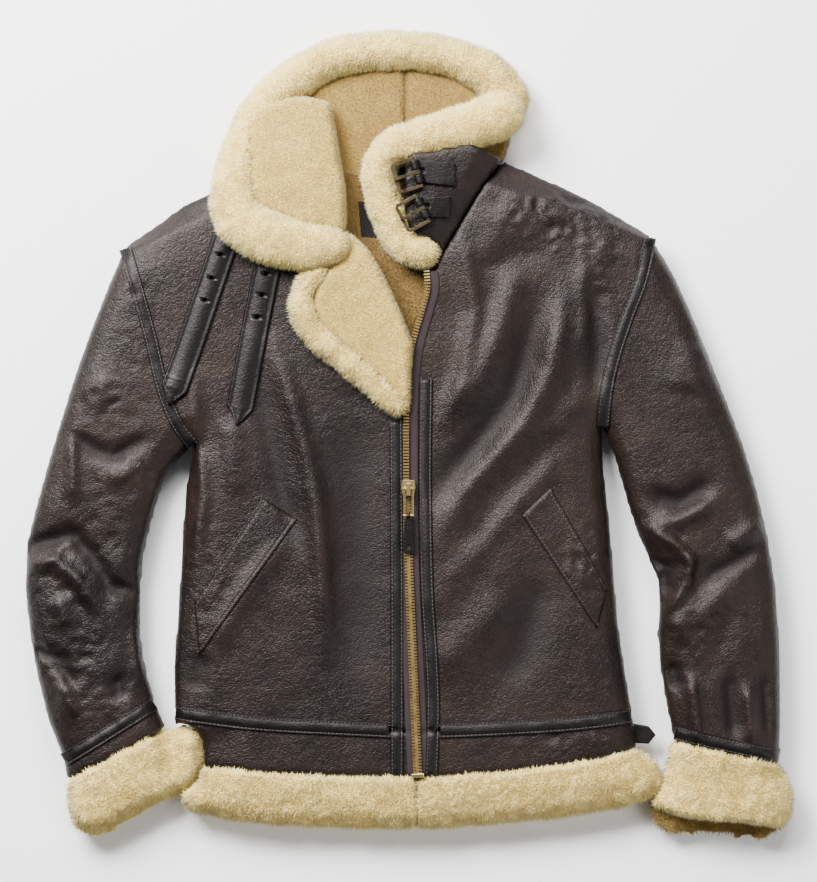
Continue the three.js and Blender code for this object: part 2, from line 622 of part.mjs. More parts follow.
add("collar_right", wall(collarRightNet, collarRightTop, frontBase), ...rims, neckRim);
add("lapel_trim", trim(0), rims[0], neckRim);
const collarRightSpace = wall(drawnIn(collarRightNet, -seamGap), (x, y) => collarRightTop(x, y) + seamGap, 0);
add("lapel", wall(lapelNet, lapelTop, frontTop - 20), rims[0], trim(seamGap), collarRightSpace, neckRim);

// Long collar straps with pointed ends and three holes each, hanging from under the open collar half.
const holeRadius = 2.5;
const longStraps = {
  strap_long_outer: { line: [[-183, 198], [-240, 33]], holes: [[-188, 182], [-197, 159], [-204, 137]] },
  strap_long_inner: { line: [[-139, 184], [-172, 13]], holes: [[-143, 163], [-147, 142], [-152, 120]] },
};
for (const [name, { line, holes }] of Object.entries(longStraps)) {
  const grid = stripNet(along(line, [0, 0.23, 0.46, 0.69, 0.9, 1]), [1, 1, 1, 1, 1, 0.1].map((share) => share * strapWide));
  const punches = holes.map(([x, y]) => plate(circle(x, y, holeRadius, 8), 30, 70));
  const taped = laid(onLeather.armhole_tape_right, -1, seamGap + tapeThick + seamGap);
  add(name, laid(grid, seamGap, seamGap + 4.4), taped, rims[0], ...punches);
}

// A round bar along X or Y through a point, between two distances from it.
const barX = (from, to, radius) => plate(circle(0, 0, radius, 12), from, to).rotate([0, 90, 0]);
const barY = (from, to, radius) => plate(circle(0, 0, radius, 12), from, to).rotate([-90, 0, 0]);
const box = (x0, x1, y0, y1, z0, z1) => plate([[x0, y0], [x1, y0], [x1, y1], [x0, y1]], z0, z1);

// Short collar straps end in loops round the buckles' heel bars, slit for the prongs.
// Buckles: middle of the heel bar x and y, turn of the buckle, far end of the strap x and y.
const heelHeight = 62.5;
const buckleLong = 15.5; // half its size along the heel bar
const buckleDeep = 23.6; // heel bar to the outside of the far bar
const loopRadius = 4.4;
const boreRadius = wireThick / 2 + 0.4;
const buckles = {
  top: { heel: [7, 263], turn: 18, strapEnd: [45, 261], high: 12 },
  low: { heel: [12, 227], turn: 28, strapEnd: [40, 229], high: 11 },
};
const collarGround = wall(collarLeftNet, collarLeftTop, frontBase);
for (const [name, { heel, turn, strapEnd, high }] of Object.entries(buckles)) {
  const [cos, sin] = [Math.cos((turn * Math.PI) / 180), Math.sin((turn * Math.PI) / 180)];
  const place = (shape) => shape.rotate([0, 0, turn]).translate([heel[0], heel[1], heelHeight]);
  const half = wireThick / 2;
  const chamfer = 3;
  const outside = [
    [half, -buckleLong], [half, buckleLong], [chamfer - buckleDeep, buckleLong], [-buckleDeep, buckleLong - chamfer],
    [-buckleDeep, chamfer - buckleLong], [chamfer - buckleDeep, -buckleLong],
  ];
  const inside = box(wireThick - buckleDeep, half + 1, wireThick - buckleLong, buckleLong - wireThick, -5, 5);
  const frame = plate(outside, -half, half).subtract(inside)
    .add(barY(wireThick - buckleLong - 1, buckleLong - wireThick + 1, half));
  const prong = barY(-2, 2, loopRadius - 0.2).add(box(-buckleDeep - 0.6, 0, -1.6, 1.6, half + 0.4, loopRadius - 0.25))
    .subtract(barY(-3, 3, boreRadius));
  const across = [-high, high].map((by) => [heel[0] - sin * by + cos * 3, heel[1] + cos * by + sin * 3]);
  const end = [[strapEnd[0], strapEnd[1] - high], [strapEnd[0], strapEnd[1] + high]];
  const flat = laid([across, end], seamGap, seamGap + strapThick, collarGround);
  const loop = barY(-high + 0.4, high - 0.4, loopRadius)
    .add(box(0, 6, 0.4 - high, high - 0.4, -loopRadius + 0.1, -1.6));
  const slitEnd = 8; // room for the prong when it is folded right back over the strap
  const cut = barY(-high - 1, high + 1, boreRadius).add(box(-6, slitEnd, -2.5, 2.5, -6, 6));
  add(`buckle_${name}`, place(frame));
  add(`prong_${name}`, place(prong));
  add(`strap_short_${name}`, flat.add(place(loop)).subtract(place(cut)), ...rims);
}

// Zip slider with its bridge, the wire link through the bridge, and the leather pull on the link.
const slider = { x: -1.6, y: -50, low: 49.9, plateTop: 53.6, pin: 56.4 };
const linkLong = 27;
const droop = 4; // degrees the link and the pull hang down on to the chain
const sliderPlate = plate(
  [[-6, 8], [6, 8], [7, 1], [5.2, -8], [-5.2, -8], [-7, 1]].map(([x, y]) => [x + slider.x, y + slider.y]),
  slider.low,
  slider.plateTop,
);
const bridge = box(slider.x - 2, slider.x + 2, slider.y - 7, slider.y + 5, slider.plateTop - 1, slider.pin + 3)
  .subtract(barX(-5, 5, 1.8).translate([slider.x, slider.y, slider.pin]));
add("zip_slider", sliderPlate.add(bridge));
const hung = (shape) => shape.rotate([droop, 0, 0]).translate([slider.x, slider.y, slider.pin]);
add("zip_link", hung(
  barX(-5.2, 5.2, 1.3)
    .add(box(-5.2, -3, -linkLong, 0, -1, 1))
    .add(box(3, 5.2, -linkLong, 0, -1, 1))
    .add(barX(-5.2, 5.2, 1.3).translate([0, -linkLong, 0])),
));
add("zip_pull", hung(
  box(-6, 6, -linkLong - 38, -linkLong - 2, -1.4, 1.4)
    .subtract(plate(circle(0, -linkLong - 31, 2, 8), -3, 3))
    .add(barX(-2.5, 2.5, 3).translate([0, -linkLong, 0]))
    .add(box(-2.5, 2.5, -linkLong - 4, -linkLong, -1.4, 1.4))
    .subtract(barX(-3, 3, 1.7).translate([0, -linkLong, 0])),
));

// The end of the waist adjuster, standing out at the left side.
add("hem_tab_left", plate([[224.8, -285], [240, -288], [246, -297], [240, -306], [228.4, -305]], 19, 23));

// The frame's origin is under the middle of the laid coat.
const outermost = [...pieces.values()].map((shape) => shape.boundingBox());
const middle = [0, 1].map((k) => (
  (Math.min(...outermost.map(({ min }) => min[k])) + Math.max(...outermost.map(({ max }) => max[k]))) / 2
));

const coat = new THREE.Group();
for (const [name, shape] of pieces) {
  const { vertProperties, triVerts, numProp } = shape.getMesh();
  const places = new Float32Array(triVerts.length * 3);
  triVerts.forEach((vertex, i) => {
    for (let k = 0; k < 3; k += 1) places[i * 3 + k] = vertProperties[vertex * numProp + k];
  });
  const geometry = new THREE.BufferGeometry();
  geometry.setAttribute("position", new THREE.BufferAttribute(places, 3));
  geometry.translate(-middle[0], -middle[1], 0);
  geometry.computeVertexNormals();
  const mesh = new THREE.Mesh(geometry);
  mesh.name = name;
  coat.add(mesh);
}

export default coat;
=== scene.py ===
# %% [markdown]
# # A shearling coat, laid flat
#
# The coat is sheepskin with the leather outside and the wool inside. It lies on its back on a
# pale surface, zip half open, one collar half turned out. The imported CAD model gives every
# piece its place. This script gives each piece its folds, grain, wool and sewing.
#
# Lengths in the tables are millimetres. X runs to the wearer's left, Y from hem to collar,
# and Z up out of the front.

# %% Tools and the CAD frame
import json

import bpy
import bmesh
import numpy as np
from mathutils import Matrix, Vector, noise
from mathutils.bvhtree import BVHTree

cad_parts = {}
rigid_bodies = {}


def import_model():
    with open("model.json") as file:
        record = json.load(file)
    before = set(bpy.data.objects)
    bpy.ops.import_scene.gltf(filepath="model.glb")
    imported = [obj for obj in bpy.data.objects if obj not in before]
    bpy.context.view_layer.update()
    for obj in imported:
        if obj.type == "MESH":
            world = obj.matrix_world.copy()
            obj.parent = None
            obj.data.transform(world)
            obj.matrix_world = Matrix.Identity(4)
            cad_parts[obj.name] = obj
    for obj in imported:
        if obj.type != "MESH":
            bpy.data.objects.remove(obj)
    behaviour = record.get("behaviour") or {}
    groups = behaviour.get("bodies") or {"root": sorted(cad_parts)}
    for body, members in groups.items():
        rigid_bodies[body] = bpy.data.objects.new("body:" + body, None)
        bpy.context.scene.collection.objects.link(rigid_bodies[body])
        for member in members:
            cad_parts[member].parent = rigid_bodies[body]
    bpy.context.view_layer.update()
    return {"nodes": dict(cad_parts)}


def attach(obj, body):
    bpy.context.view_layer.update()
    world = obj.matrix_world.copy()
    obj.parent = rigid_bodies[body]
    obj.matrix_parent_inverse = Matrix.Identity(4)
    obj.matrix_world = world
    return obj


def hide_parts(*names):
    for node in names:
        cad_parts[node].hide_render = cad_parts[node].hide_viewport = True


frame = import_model()
nodes = frame["nodes"]

# %% Driving dimensions
LAYER_MEET = 22.0        # height where the front half of the coat meets the back half
LEATHER_THICK = 2.0      # leather skin
TAPE_THICK = 2.2         # seam tapes and zip strips
STRAP_THICK = 4.0        # collar straps, two layers of leather
TAPE_WIDE = 13.0
HEM_TAPE_WIDE = 15.0
STRAP_WIDE = 27.0
STITCH_PITCH = 3.9       # one stitch and one gap
STITCH_LONG = 3.0
TOOTH_PITCH = 3.0        # one zip tooth on each side
FINE = 0.0037            # remesh size of the leather that shows, metres
COARSE = 0.006           # remesh size of what lies underneath
WOOL_GRID = 0.0031       # remesh size of the wool pads

# %% [markdown]
# ## Shader maths
#
# Wrapping a node socket in a small class lets the materials be written as plain sums and
# products, which reads far better than dozens of linked maths nodes.


# %% Shader sockets as Python values
class Value:
    """A node socket that can be added, multiplied and compared like a number."""

    def __init__(self, tree, socket):
        self.tree = tree
        self.socket = socket

    def node(self, kind, settings=None, **inputs):
        """Adds any node, plugs inputs in by name and returns the node."""
        made = self.tree.nodes.new(kind)
        for name, setting in (settings or {}).items():
            setattr(made, name, setting)
        for name, value in inputs.items():
            plug(self.tree, made.inputs[name.replace("_", " ")], value)
        return made

    def maths(self, operation, *others):
        made = self.tree.nodes.new("ShaderNodeMath")
        made.operation = operation
        for place, value in enumerate((self, *others)):
            plug(self.tree, made.inputs[place], value)
        return Value(self.tree, made.outputs[0])

    def __add__(self, other):
        return self.maths("ADD", other)

    def __sub__(self, other):
        return self.maths("SUBTRACT", other)

    def __mul__(self, other):
        return self.maths("MULTIPLY", other)

    def __radd__(self, other):
        return self.maths("ADD", other)

    def __rmul__(self, other):
        return self.maths("MULTIPLY", other)

    def __rsub__(self, other):
        return (self * -1.0).maths("ADD", other)

    def clamped(self):
        return self.maths("MAXIMUM", 0.0).maths("MINIMUM", 1.0)

    def step(self, low, high):
        """Rises smoothly from 0 at low to 1 at high."""
        made = self.node("ShaderNodeMapRange", {"interpolation_type": "SMOOTHSTEP"}, Value=self)
        made.inputs["From Min"].default_value = low
        made.inputs["From Max"].default_value = high
        return Value(self.tree, made.outputs["Result"])


def plug(tree, socket, value):
    """Links a Value into a socket, or sets the socket's own number or colour."""
    if isinstance(value, Value):
        tree.links.new(value.socket, socket)
    elif socket.type == "RGBA" and len(value) == 3:
        socket.default_value = (*value, 1.0)
    else:
        socket.default_value = value


def hex_colour(text):
    """Turns a web colour into the linear light that shaders work in."""
    parts = [int(text[i:i + 2], 16) / 255 for i in (0, 2, 4)]
    return tuple(c / 12.92 if c <= 0.04045 else ((c + 0.055) / 1.055) ** 2.4 for c in parts)


class Finish:
    """A material with one Principled shader, and helpers for its patterns."""

    def __init__(self, name, **constants):
        self.material = bpy.data.materials.new(name)
        self.material.use_nodes = True
        self.tree = self.material.node_tree
        self.shader = self.tree.nodes["Principled BSDF"]
        for socket, value in constants.items():
            plug(self.tree, self.shader.inputs[socket.replace("_", " ")], value)
        place = self.tree.nodes.new("ShaderNodeTexCoord")
        self.place = Value(self.tree, place.outputs["Object"])

    def warped(self, scale, reach):
        """Object coordinates pushed about by clouds, so that patterns lose their evenness."""
        push = self.place.node("ShaderNodeTexNoise", Vector=self.place, Scale=scale, Detail=2.0)
        made = self.tree.nodes.new("ShaderNodeVectorMath")
        made.operation = "MULTIPLY_ADD"
        self.tree.links.new(push.outputs["Color"], made.inputs[0])
        made.inputs[1].default_value = (reach, reach, reach)
        self.tree.links.new(self.place.socket, made.inputs[2])
        return Value(self.tree, made.outputs[0])

    def clouds(self, scale, detail=2.0, rough=0.5):
        made = self.place.node("ShaderNodeTexNoise", Vector=self.place, Scale=scale, Detail=detail,
                               Roughness=rough)
        return Value(self.tree, made.outputs[0])

    def cells(self, scale, at):
        """Distance from the borders of irregular cells."""
        made = self.place.node("ShaderNodeTexVoronoi", {"feature": "DISTANCE_TO_EDGE"}, Vector=at,
                               Scale=scale)
        return Value(self.tree, made.outputs[0])

    def attribute(self, name):
        made = self.tree.nodes.new("ShaderNodeAttribute")
        made.attribute_name = name
        return Value(self.tree, made.outputs["Fac"])

    def mix(self, share, first, second):
        made = self.tree.nodes.new("ShaderNodeMix")
        made.data_type = "RGBA"
        plug(self.tree, made.inputs[0], share)
        plug(self.tree, made.inputs[6], first)
        plug(self.tree, made.inputs[7], second)
        return Value(self.tree, made.outputs[2])

    def feed(self, **inputs):
        for socket, value in inputs.items():
            plug(self.tree, self.shader.inputs[socket.replace("_", " ")], value)

    def bump(self, height, strength, distance=0.001):
        made = self.place.node("ShaderNodeBump", Height=height)
        made.inputs["Strength"].default_value = strength
        made.inputs["Distance"].default_value = distance
        self.tree.links.new(made.outputs[0], self.shader.inputs["Normal"])


# %% [markdown]
# ## Leather
#
# The skin is tanned and sprayed very dark brown. It has a fine pebble grain, wider wrinkles
# where it flexes, and a soft shine that is a little duller and lighter on the high, rubbed
# parts. Cell borders give the pebbles, and two sizes of clouds give the wrinkles and patches.
# The skin also stores where its folds have valleys, and there the colour is painted darker as painted shade,
# and the shine is duller.


# %% Leather materials
def leather(name, dark, light, rough, grain=1.0, wrinkle=1.0):
    """Grained leather between a dark and a lighter rubbed colour."""
    finish = Finish(name, Specular_IOR_Level=0.25, Specular_Tint=(1.0, 0.92, 0.89))
    bent = finish.warped(90.0, 0.006)
    warp = finish.clouds(60.0, 2.0)
    pebbles = finish.cells(430.0, at=bent).step(0.0, 0.30)
    wide = finish.cells(165.0, at=bent).step(0.0, 0.16)
    creases = 1.0 - (finish.clouds(34.0, 5.0, 0.62) - 0.5).maths("ABSOLUTE").step(0.0, 0.07)
    patches = finish.clouds(9.0, 4.0, 0.6)
    rubbed = (patches * 0.75 + warp * 0.35 + pebbles * 0.12).step(0.42, 0.82)
    painted_valley_shade = finish.attribute("painted_valley_shade")
    finish.feed(
        # painted shade: the base colour is darkened in the fold valleys, and the shine is duller there
        Base_Color=finish.mix(rubbed * (1.0 - painted_valley_shade), dark, light),
        Roughness=(rough + 0.16 * (patches - 0.5) - 0.08 * pebbles + 0.25 * painted_valley_shade).clamped(),
    )
    height = grain * (pebbles * 0.34 + wide * 0.30) + wrinkle * (creases * -0.30 + warp * 0.25)
    finish.bump(height, 0.5, 0.0009)
    return finish.material


coat_leather = leather("coat_leather", hex_colour("080504"), hex_colour("1b110d"), 0.49)
trim_leather = leather("trim_leather", hex_colour("010101"), hex_colour("060606"), 0.5, 0.5, 0.5)
print("leather materials made")

# %% [markdown]
# ## Wool
#
# Sheared sheepskin is thousands of fine crimped locks. Each lock is built as a small tapering
# blade, and the skin under the locks is a soft cream, painted tan in the hollows between clumps
# as painted shade. A number from 0 at the root to 1 at the tip, stored on each lock, darkens the
# roots as painted shade deep in the pile.


# %% Wool materials
def wool(name, root, tip):
    """Matt wool that is painted darker at the roots and in the partings as painted shade, and lighter at the
    tips.
    """
    finish = Finish(name, Roughness=0.95, Specular_IOR_Level=0.1, Sheen_Weight=0.4, Sheen_Roughness=0.5)
    height = finish.attribute("tip")
    tone = finish.attribute("tone")
    painted_groove_shade = finish.attribute("painted_groove_shade")
    patches = finish.clouds(26.0, 3.0, 0.6)
    # painted shade: darker towards the roots, in the partings between clumps and along the seam
    share = (height * 0.35 + tone * 0.2 + patches * 0.5 - painted_groove_shade * 0.5 + 0.25).clamped()
    finish.feed(Base_Color=finish.mix(share, root, tip))
    finish.bump(finish.clouds(900.0, 3.0, 0.7), 0.35, 0.0008)
    return finish.material


cream_wool = wool("cream_wool", hex_colour("bb9b4c"), hex_colour("f5e394"))
sheared_wool = wool("sheared_wool", hex_colour("9c7e3c"), hex_colour("d2ba6a"))
# a darker copy of the cream wool: painted shade for fleece lying under the collar roll and inside the left
# cuff's mouth
shade_painted_wool = wool("shade_painted_wool", hex_colour("664f27"), hex_colour("a38746"))
# a still darker copy of the wool: painted shadow for the fleece deep inside the neck opening
painted_shadow_wool = wool("painted_shadow_wool", hex_colour("503c1c"), hex_colour("8a6e3a"))
print("wool materials made")

# %% Metal, zip cloth, thread and label materials
def metal(name, dark, light, rough, worn=0.5):
    """Cast or stamped metal, darker in patches and brighter where it is rubbed."""
    finish = Finish(name, Metallic=1.0)
    patches = finish.clouds(120.0, 4.0, 0.65)
    fine = finish.clouds(900.0, 3.0, 0.6)
    share = ((patches - 0.5) * 2.2 + worn + (fine - 0.5) * 0.6).clamped()
    finish.feed(Base_Color=finish.mix(share, dark, light), Roughness=rough + 0.25 * (0.6 - patches))
    finish.bump(patches * 0.6 + fine * 0.4, 0.18, 0.0004)
    return finish.material


def woven(name, dark, light, threads):
    """Close-woven cloth: two crossed sets of fine ribs."""
    finish = Finish(name, Roughness=0.85, Specular_IOR_Level=0.2)
    across = (finish.attribute("across") * threads).maths("SINE")
    along = (finish.attribute("along") * threads).maths("SINE")
    weave = (across * along * 0.5 + 0.5).clamped()
    finish.feed(Base_Color=finish.mix(weave * 0.6 + finish.clouds(200.0) * 0.4, dark, light))
    finish.bump(weave, 0.4, 0.0004)
    return finish.material


brass = metal("zip_brass", hex_colour("7a5f34"), hex_colour("e2c78c"), 0.3, 0.6)
old_brass = metal("buckle_brass", hex_colour("1c1712"), hex_colour("6d5f48"), 0.38, 0.4)
zip_cloth = woven("zip_cloth", hex_colour("1a1416"), hex_colour("352a2c"), 2600.0)
label_cloth = woven("label_cloth", hex_colour("0f0d0d"), hex_colour("221f1f"), 5200.0)


def thread_finish():
    finish = Finish("thread", Roughness=0.6)
    finish.feed(Base_Color=finish.mix(finish.clouds(700.0), hex_colour("221d1b"), hex_colour("4a413c")))
    finish.bump(finish.clouds(2500.0), 0.3, 0.0002)
    return finish.material


thread = thread_finish()
print("materials:", len(bpy.data.materials))

# %% [markdown]
# ## Folds of the leather
#
# Laid-out sheepskin is stiff: it makes a few long soft rolls down the fronts and sharper
# creases at the elbows. Every fold is a line on the coat with a height and a half width, and
# all the leather is lifted by the same sum of folds, so neighbouring pieces keep touching.

# %% The folds
FOLD_DEPTH = 1.5         # all folds are made this much deeper
FOLDS = [
    # height, half width, points of the fold's line (x, y)
    (3.0, 9, [(52, 202), (66, 125), (54, 60), (36, 16)]),
    (3.5, 13, [(107, 170), (91, 106), (69, 56), (38, 18)]),
    (-4.5, 13, [(128, 130), (104, 40), (56, -22), (26, -60)]),
    (5.5, 15, [(156, 150), (142, 67), (113, 10), (64, -47), (30, -100)]),
    (-3.5, 12, [(168, 20), (104, -55), (46, -124)]),
    (3.5, 15, [(178, 50), (128, -36), (73, -96), (34, -160)]),
    (2.5, 20, [(100, -160), (56, -202), (32, -235)]),
    (-3.0, 18, [(130, -140), (114, -215), (95, -245)]),
    (-3.5, 9, [(180, 150), (190, 90), (184, 40)]),
    (2.5, 8, [(172, 180), (176, 120), (168, 70)]),
    (4.5, 10, [(-136, 92), (-120, 48), (-103, -12), (-91, -70), (-85, -135), (-82, -220)]),
    (-3.0, 10, [(-150, 60), (-141, 10), (-127, -54), (-110, -110)]),
    (3.0, 7, [(-214, 60), (-213, 8), (-204, -60), (-214, -125)]),
    (-3.5, 24, [(-62, 20), (-56, -110), (-50, -240)]),
    (2.5, 11, [(-196, -214), (-160, -150), (-122, -104)]),
    (-2.5, 11, [(-206, -218), (-214, -255)]),
    (2.0, 12, [(-178, 20), (-172, -60)]),
    (1.6, 16, [(-315, 55), (-292, 34)]),
    (-4.0, 7, [(-340, 2), (-312, -14), (-295, -20), (-258, -2)]),
    (3.0, 8, [(-300, -42), (-270, -34)]),
    (3.0, 6, [(-335, 4), (-334, -66)]),
    (-5.0, 7, [(-392, -112), (-358, -104), (-334, -98), (-316, -120), (-299, -150), (-262, -158)]),
    (4.5, 7, [(-388, -130), (-352, -124), (-330, -142), (-312, -170)]),
    (3.5, 10, [(-350, -160), (-338, -190)]),
    (-4.0, 6, [(-378, -210), (-350, -222), (-330, -250)]),
    (3.5, 9, [(-345, -245), (-334, -280)]),
    (-5.0, 8, [(-292, -238), (-288, -262)]),
    (3.0, 7, [(-272, -190), (-268, -240)]),
    (3.0, 22, [(290, 95), (280, 40)]),
    (-4.5, 9, [(238, -60), (268, -66), (300, -46)]),
    (4.0, 8, [(240, -92), (268, -84), (304, -66)]),
    (6.0, 6, [(234, -92), (262, -106), (279, -122), (276, -146), (254, -180)]),
    (-5.0, 7, [(236, -118), (256, -132), (254, -158)]),
    (4.0, 14, [(254, -200), (290, -172), (326, -150)]),
    (-3.5, 7, [(292, -142), (318, -130), (350, -110)]),
    (3.0, 9, [(318, -110), (352, -86)]),
    (-5.0, 7, [(262, -226), (268, -252)]),
    (4.5, 6, [(280, -240), (288, -305)]),
    (-4.5, 7, [(318, -236), (324, -300)]),
    (4.0, 5, [(337, -250), (342, -306)]),
    (-3.5, 5, [(353, -236), (357, -300)]),
]
CRINKLES = [
    # middle x, y, half sizes, height: places where the skin is finely creased
    (155, 214, 46, 30, 1.9),
    (190, 170, 14, 40, 2.0),
    (120, 226, 40, 16, 1.8),
    (-268, 120, 14, 50, 1.2),
    (-306, 40, 34, 24, 1.3),
    (-280, -30, 34, 30, 1.3),
    (-320, -120, 60, 40, 1.5),
    (-345, -210, 40, 60, 1.2),
    (-300, -250, 40, 40, 1.2),
    (270, -120, 34, 34, 1.5),
    (285, -200, 34, 40, 1.3),
    (175, -130, 28, 40, 1.3),
    (150, -300, 70, 20, 1.2),
    (-200, -150, 24, 60, 0.8),
]


def nearest_on_line(x, y, points):
    """Distance from each place to a line of points, and how far along the line it is."""
    best = np.full(x.shape, 1e9)
    share = np.zeros(x.shape)
    lengths = [np.hypot(b[0] - a[0], b[1] - a[1]) for a, b in zip(points, points[1:])]
    walked = 0.0
    for (ax, ay), (bx, by), length in zip(points, points[1:], lengths):
        along = ((x - ax) * (bx - ax) + (y - ay) * (by - ay)) / length**2
        along = np.clip(along, 0, 1)
        gap = np.hypot(x - ax - along * (bx - ax), y - ay - along * (by - ay))
        closer = gap < best
        best[closer] = gap[closer]
        share[closer] = ((walked + along * length) / sum(lengths))[closer]
        walked += length
    return best, share


def fold_height(x, y):
    """Sum of all folds and creases at places in millimetres."""
    total = np.zeros(x.shape)
    for height, half_width, points in FOLDS:
        gap, share = nearest_on_line(x, y, points)
        fade = np.clip(4 * np.minimum(share, 1 - share) + 0.25, 0, 1)
        total += FOLD_DEPTH * height * fade * np.exp(-(gap / half_width) ** 2)
    creased = np.zeros(x.shape)
    for cx, cy, half_x, half_y, height in CRINKLES:
        creased += height * np.exp(-((x - cx) / half_x) ** 2 - ((y - cy) / half_y) ** 2)
    for i in np.flatnonzero(creased > 0.08):
        place = Vector((x[i] * 0.075, y[i] * 0.075, 0.0))
        total[i] += creased[i] * (1.2 - 3.2 * abs(noise.noise(place)) + 0.8 * noise.noise(place * 2.7))
    for i in range(len(x)):
        total[i] += 0.9 * noise.noise(Vector((x[i] * 0.028, y[i] * 0.028, 7.0)))
    return total


print("folds:", len(FOLDS), "creased places:", len(CRINKLES))

# %% [markdown]
# ## From CAD solid to leather skin
#
# Each panel starts as a copy of its CAD solid. Remeshing it into small even squares gives
# rounded seams. The inner flat side is taken off, the outer side is lifted by the folds, and
# the skin is then thickened to real leather.


# %% Mesh helpers
def finished(name, mesh, material, body="coat", smooth=True):
    """Makes the object of a piece at the origin, smooth shaded, riding on its body."""
    spots = places_of(mesh)
    spots[:, 2] = np.maximum(spots[:, 2], 0.0)
    move_places(mesh, spots)
    piece = bpy.data.objects.new(name, mesh)
    bpy.context.scene.collection.objects.link(piece)
    if material is not None:
        mesh.materials.clear()
        mesh.materials.append(material)
    mesh.polygons.foreach_set("use_smooth", [smooth] * len(mesh.polygons))
    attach(piece, body)
    return piece


def mesh_of(corners, faces, name):
    mesh = bpy.data.meshes.new(name)
    mesh.from_pydata([tuple(c) for c in corners], [], faces)
    mesh.update()
    return mesh


def welded(node):
    """A copy of a CAD node's mesh with doubled corners merged."""
    source = nodes[node]
    shape = bmesh.new()
    shape.from_mesh(source.data)
    bmesh.ops.transform(shape, matrix=source.matrix_world, verts=shape.verts)
    bmesh.ops.remove_doubles(shape, verts=shape.verts, dist=1e-5)
    bmesh.ops.recalc_face_normals(shape, faces=shape.faces)
    mesh = bpy.data.meshes.new(node + "_copy")
    shape.to_mesh(mesh)
    shape.free()
    return mesh


def baked(mesh, *modifiers):
    """Applies modifiers, given as (kind, settings), to a mesh and returns the new mesh."""
    holder = bpy.data.objects.new("holder", mesh)
    bpy.context.scene.collection.objects.link(holder)
    for kind, settings in modifiers:
        modifier = holder.modifiers.new(kind.lower(), kind)
        for key, value in settings.items():
            setattr(modifier, key, value)
    bpy.context.view_layer.update()
    changed = holder.evaluated_get(bpy.context.evaluated_depsgraph_get())
    result = bpy.data.meshes.new_from_object(changed)
    bpy.data.objects.remove(holder)
    return result


def rounded(node, size, smoothing=4):
    """A CAD node remeshed into even squares and softened."""
    remesh = ("REMESH", {"mode": "VOXEL", "voxel_size": size})
    soften = ("SMOOTH", {"factor": 0.5, "iterations": smoothing})
    return baked(welded(node), remesh, soften)


def places_of(mesh):
    places = np.empty(len(mesh.vertices) * 3)
    mesh.vertices.foreach_get("co", places)
    return places.reshape(-1, 3)


def move_places(mesh, places):
    mesh.vertices.foreach_set("co", places.ravel())
    mesh.update()


def set_numbers(mesh, name, values):
    mesh.attributes.new(name, "FLOAT", "POINT").data.foreach_set("value", values)


def without_faces(mesh, unwanted):
    """Removes the faces for which unwanted(face) is true, with their loose corners."""
    shape = bmesh.new()
    shape.from_mesh(mesh)
    bmesh.ops.delete(shape, geom=[f for f in shape.faces if unwanted(f)], context="FACES")
    shape.to_mesh(mesh)
    shape.free()
    return mesh


def lift(mesh, low=0.026, high=0.037):
    """Raises the outer side of an upper panel by the folds, and stores how deep each valley is, for the
    painted shade in the valleys.
    """
    places = places_of(mesh)
    weight = np.clip((places[:, 2] - low) / (high - low), 0, 1)
    heights = fold_height(places[:, 0] * 1000, places[:, 1] * 1000)
    places[:, 2] += weight * heights / 1000
    move_places(mesh, places)
    # valley depth, used by the leather as painted shade and for a duller shine
    set_numbers(mesh, "painted_valley_shade", np.clip(-heights / 6.0, 0, 1))


def thickened(mesh, thick):
    """Gives an open skin its thickness, inwards from the outer side."""
    settings = {"thickness": thick / 1000, "offset": -1.0, "use_quality_normals": True}
    return baked(mesh, ("SOLIDIFY", settings))


# %% Leather panels
# panel: which side shows, its cut size (mm) and the share of that rectangle it fills
PANELS = {
    "front_right": ("top", (235, 530), 0.88),
    "front_left": ("top", (240, 530), 0.88),
    "sleeve_right_upper": ("top", (190, 560), 0.72),
    "sleeve_left_upper": ("top", (190, 560), 0.72),
    "cuff_band_right_upper": ("top", (135, 50), 0.85),
    "hem_right": ("top", (272, 72), 0.85),
    "hem_left": ("top", (272, 72), 0.85),
    "collar_left": ("top", (140, 190), 0.7),
    "back": ("bottom", (520, 560), 0.8),
    "sleeve_right_under": ("bottom", (190, 560), 0.72),
    "sleeve_left_under": ("bottom", (190, 560), 0.72),
    "cuff_band_right_under": ("bottom", (135, 50), 0.85),
    "hem_back": ("bottom", (500, 72), 0.85),
}
INNER_SIDE = 0.003       # depth of the flat inner side that is taken off a solid, metres
skins = {}
for node, (side, flat, share) in PANELS.items():
    skin = rounded(node, FINE if side == "top" else COARSE)
    box = places_of(skin)
    base = box[:, 2].min() if side == "top" else box[:, 2].max()
    if side == "top":
        without_faces(skin, lambda f: f.normal.z < -0.6 and f.calc_center_median().z < base + INNER_SIDE)
        lift(skin)
    else:
        without_faces(skin, lambda f: f.normal.z > 0.6 and f.calc_center_median().z > base - INNER_SIDE)
    skins[node] = skin.copy()
    panel = finished(node + "_skin", thickened(skin, LEATHER_THICK), coat_leather)
    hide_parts(node)
    cut = flat[0] * flat[1] * share / 1e6
    flat[0] / 1000
    flat[1] / 1000
    half = sum(f.area for f in panel.data.polygons) / 2
    print(f"{node}: {len(panel.data.polygons)} faces, cloth {half:.4f} m2, cut {cut:.4f} m2")

# %% [markdown]
# ## Wool pieces
#
# The wool rolls are soft pads: the CAD solid, remeshed and given low lumps where the fleece
# parts into clumps. Geometry Nodes then plants a small curved blade of wool on every few
# square millimetres. Locks are short where the fleece is sheared and long and loose along
# the outer edges, so each corner of a pad carries two numbers: how long its locks are, and
# which way the fleece leans.

# %% A tree that plants locks of wool
LOCK_WIDTH = 0.0011
LOCK_SIDES = 3


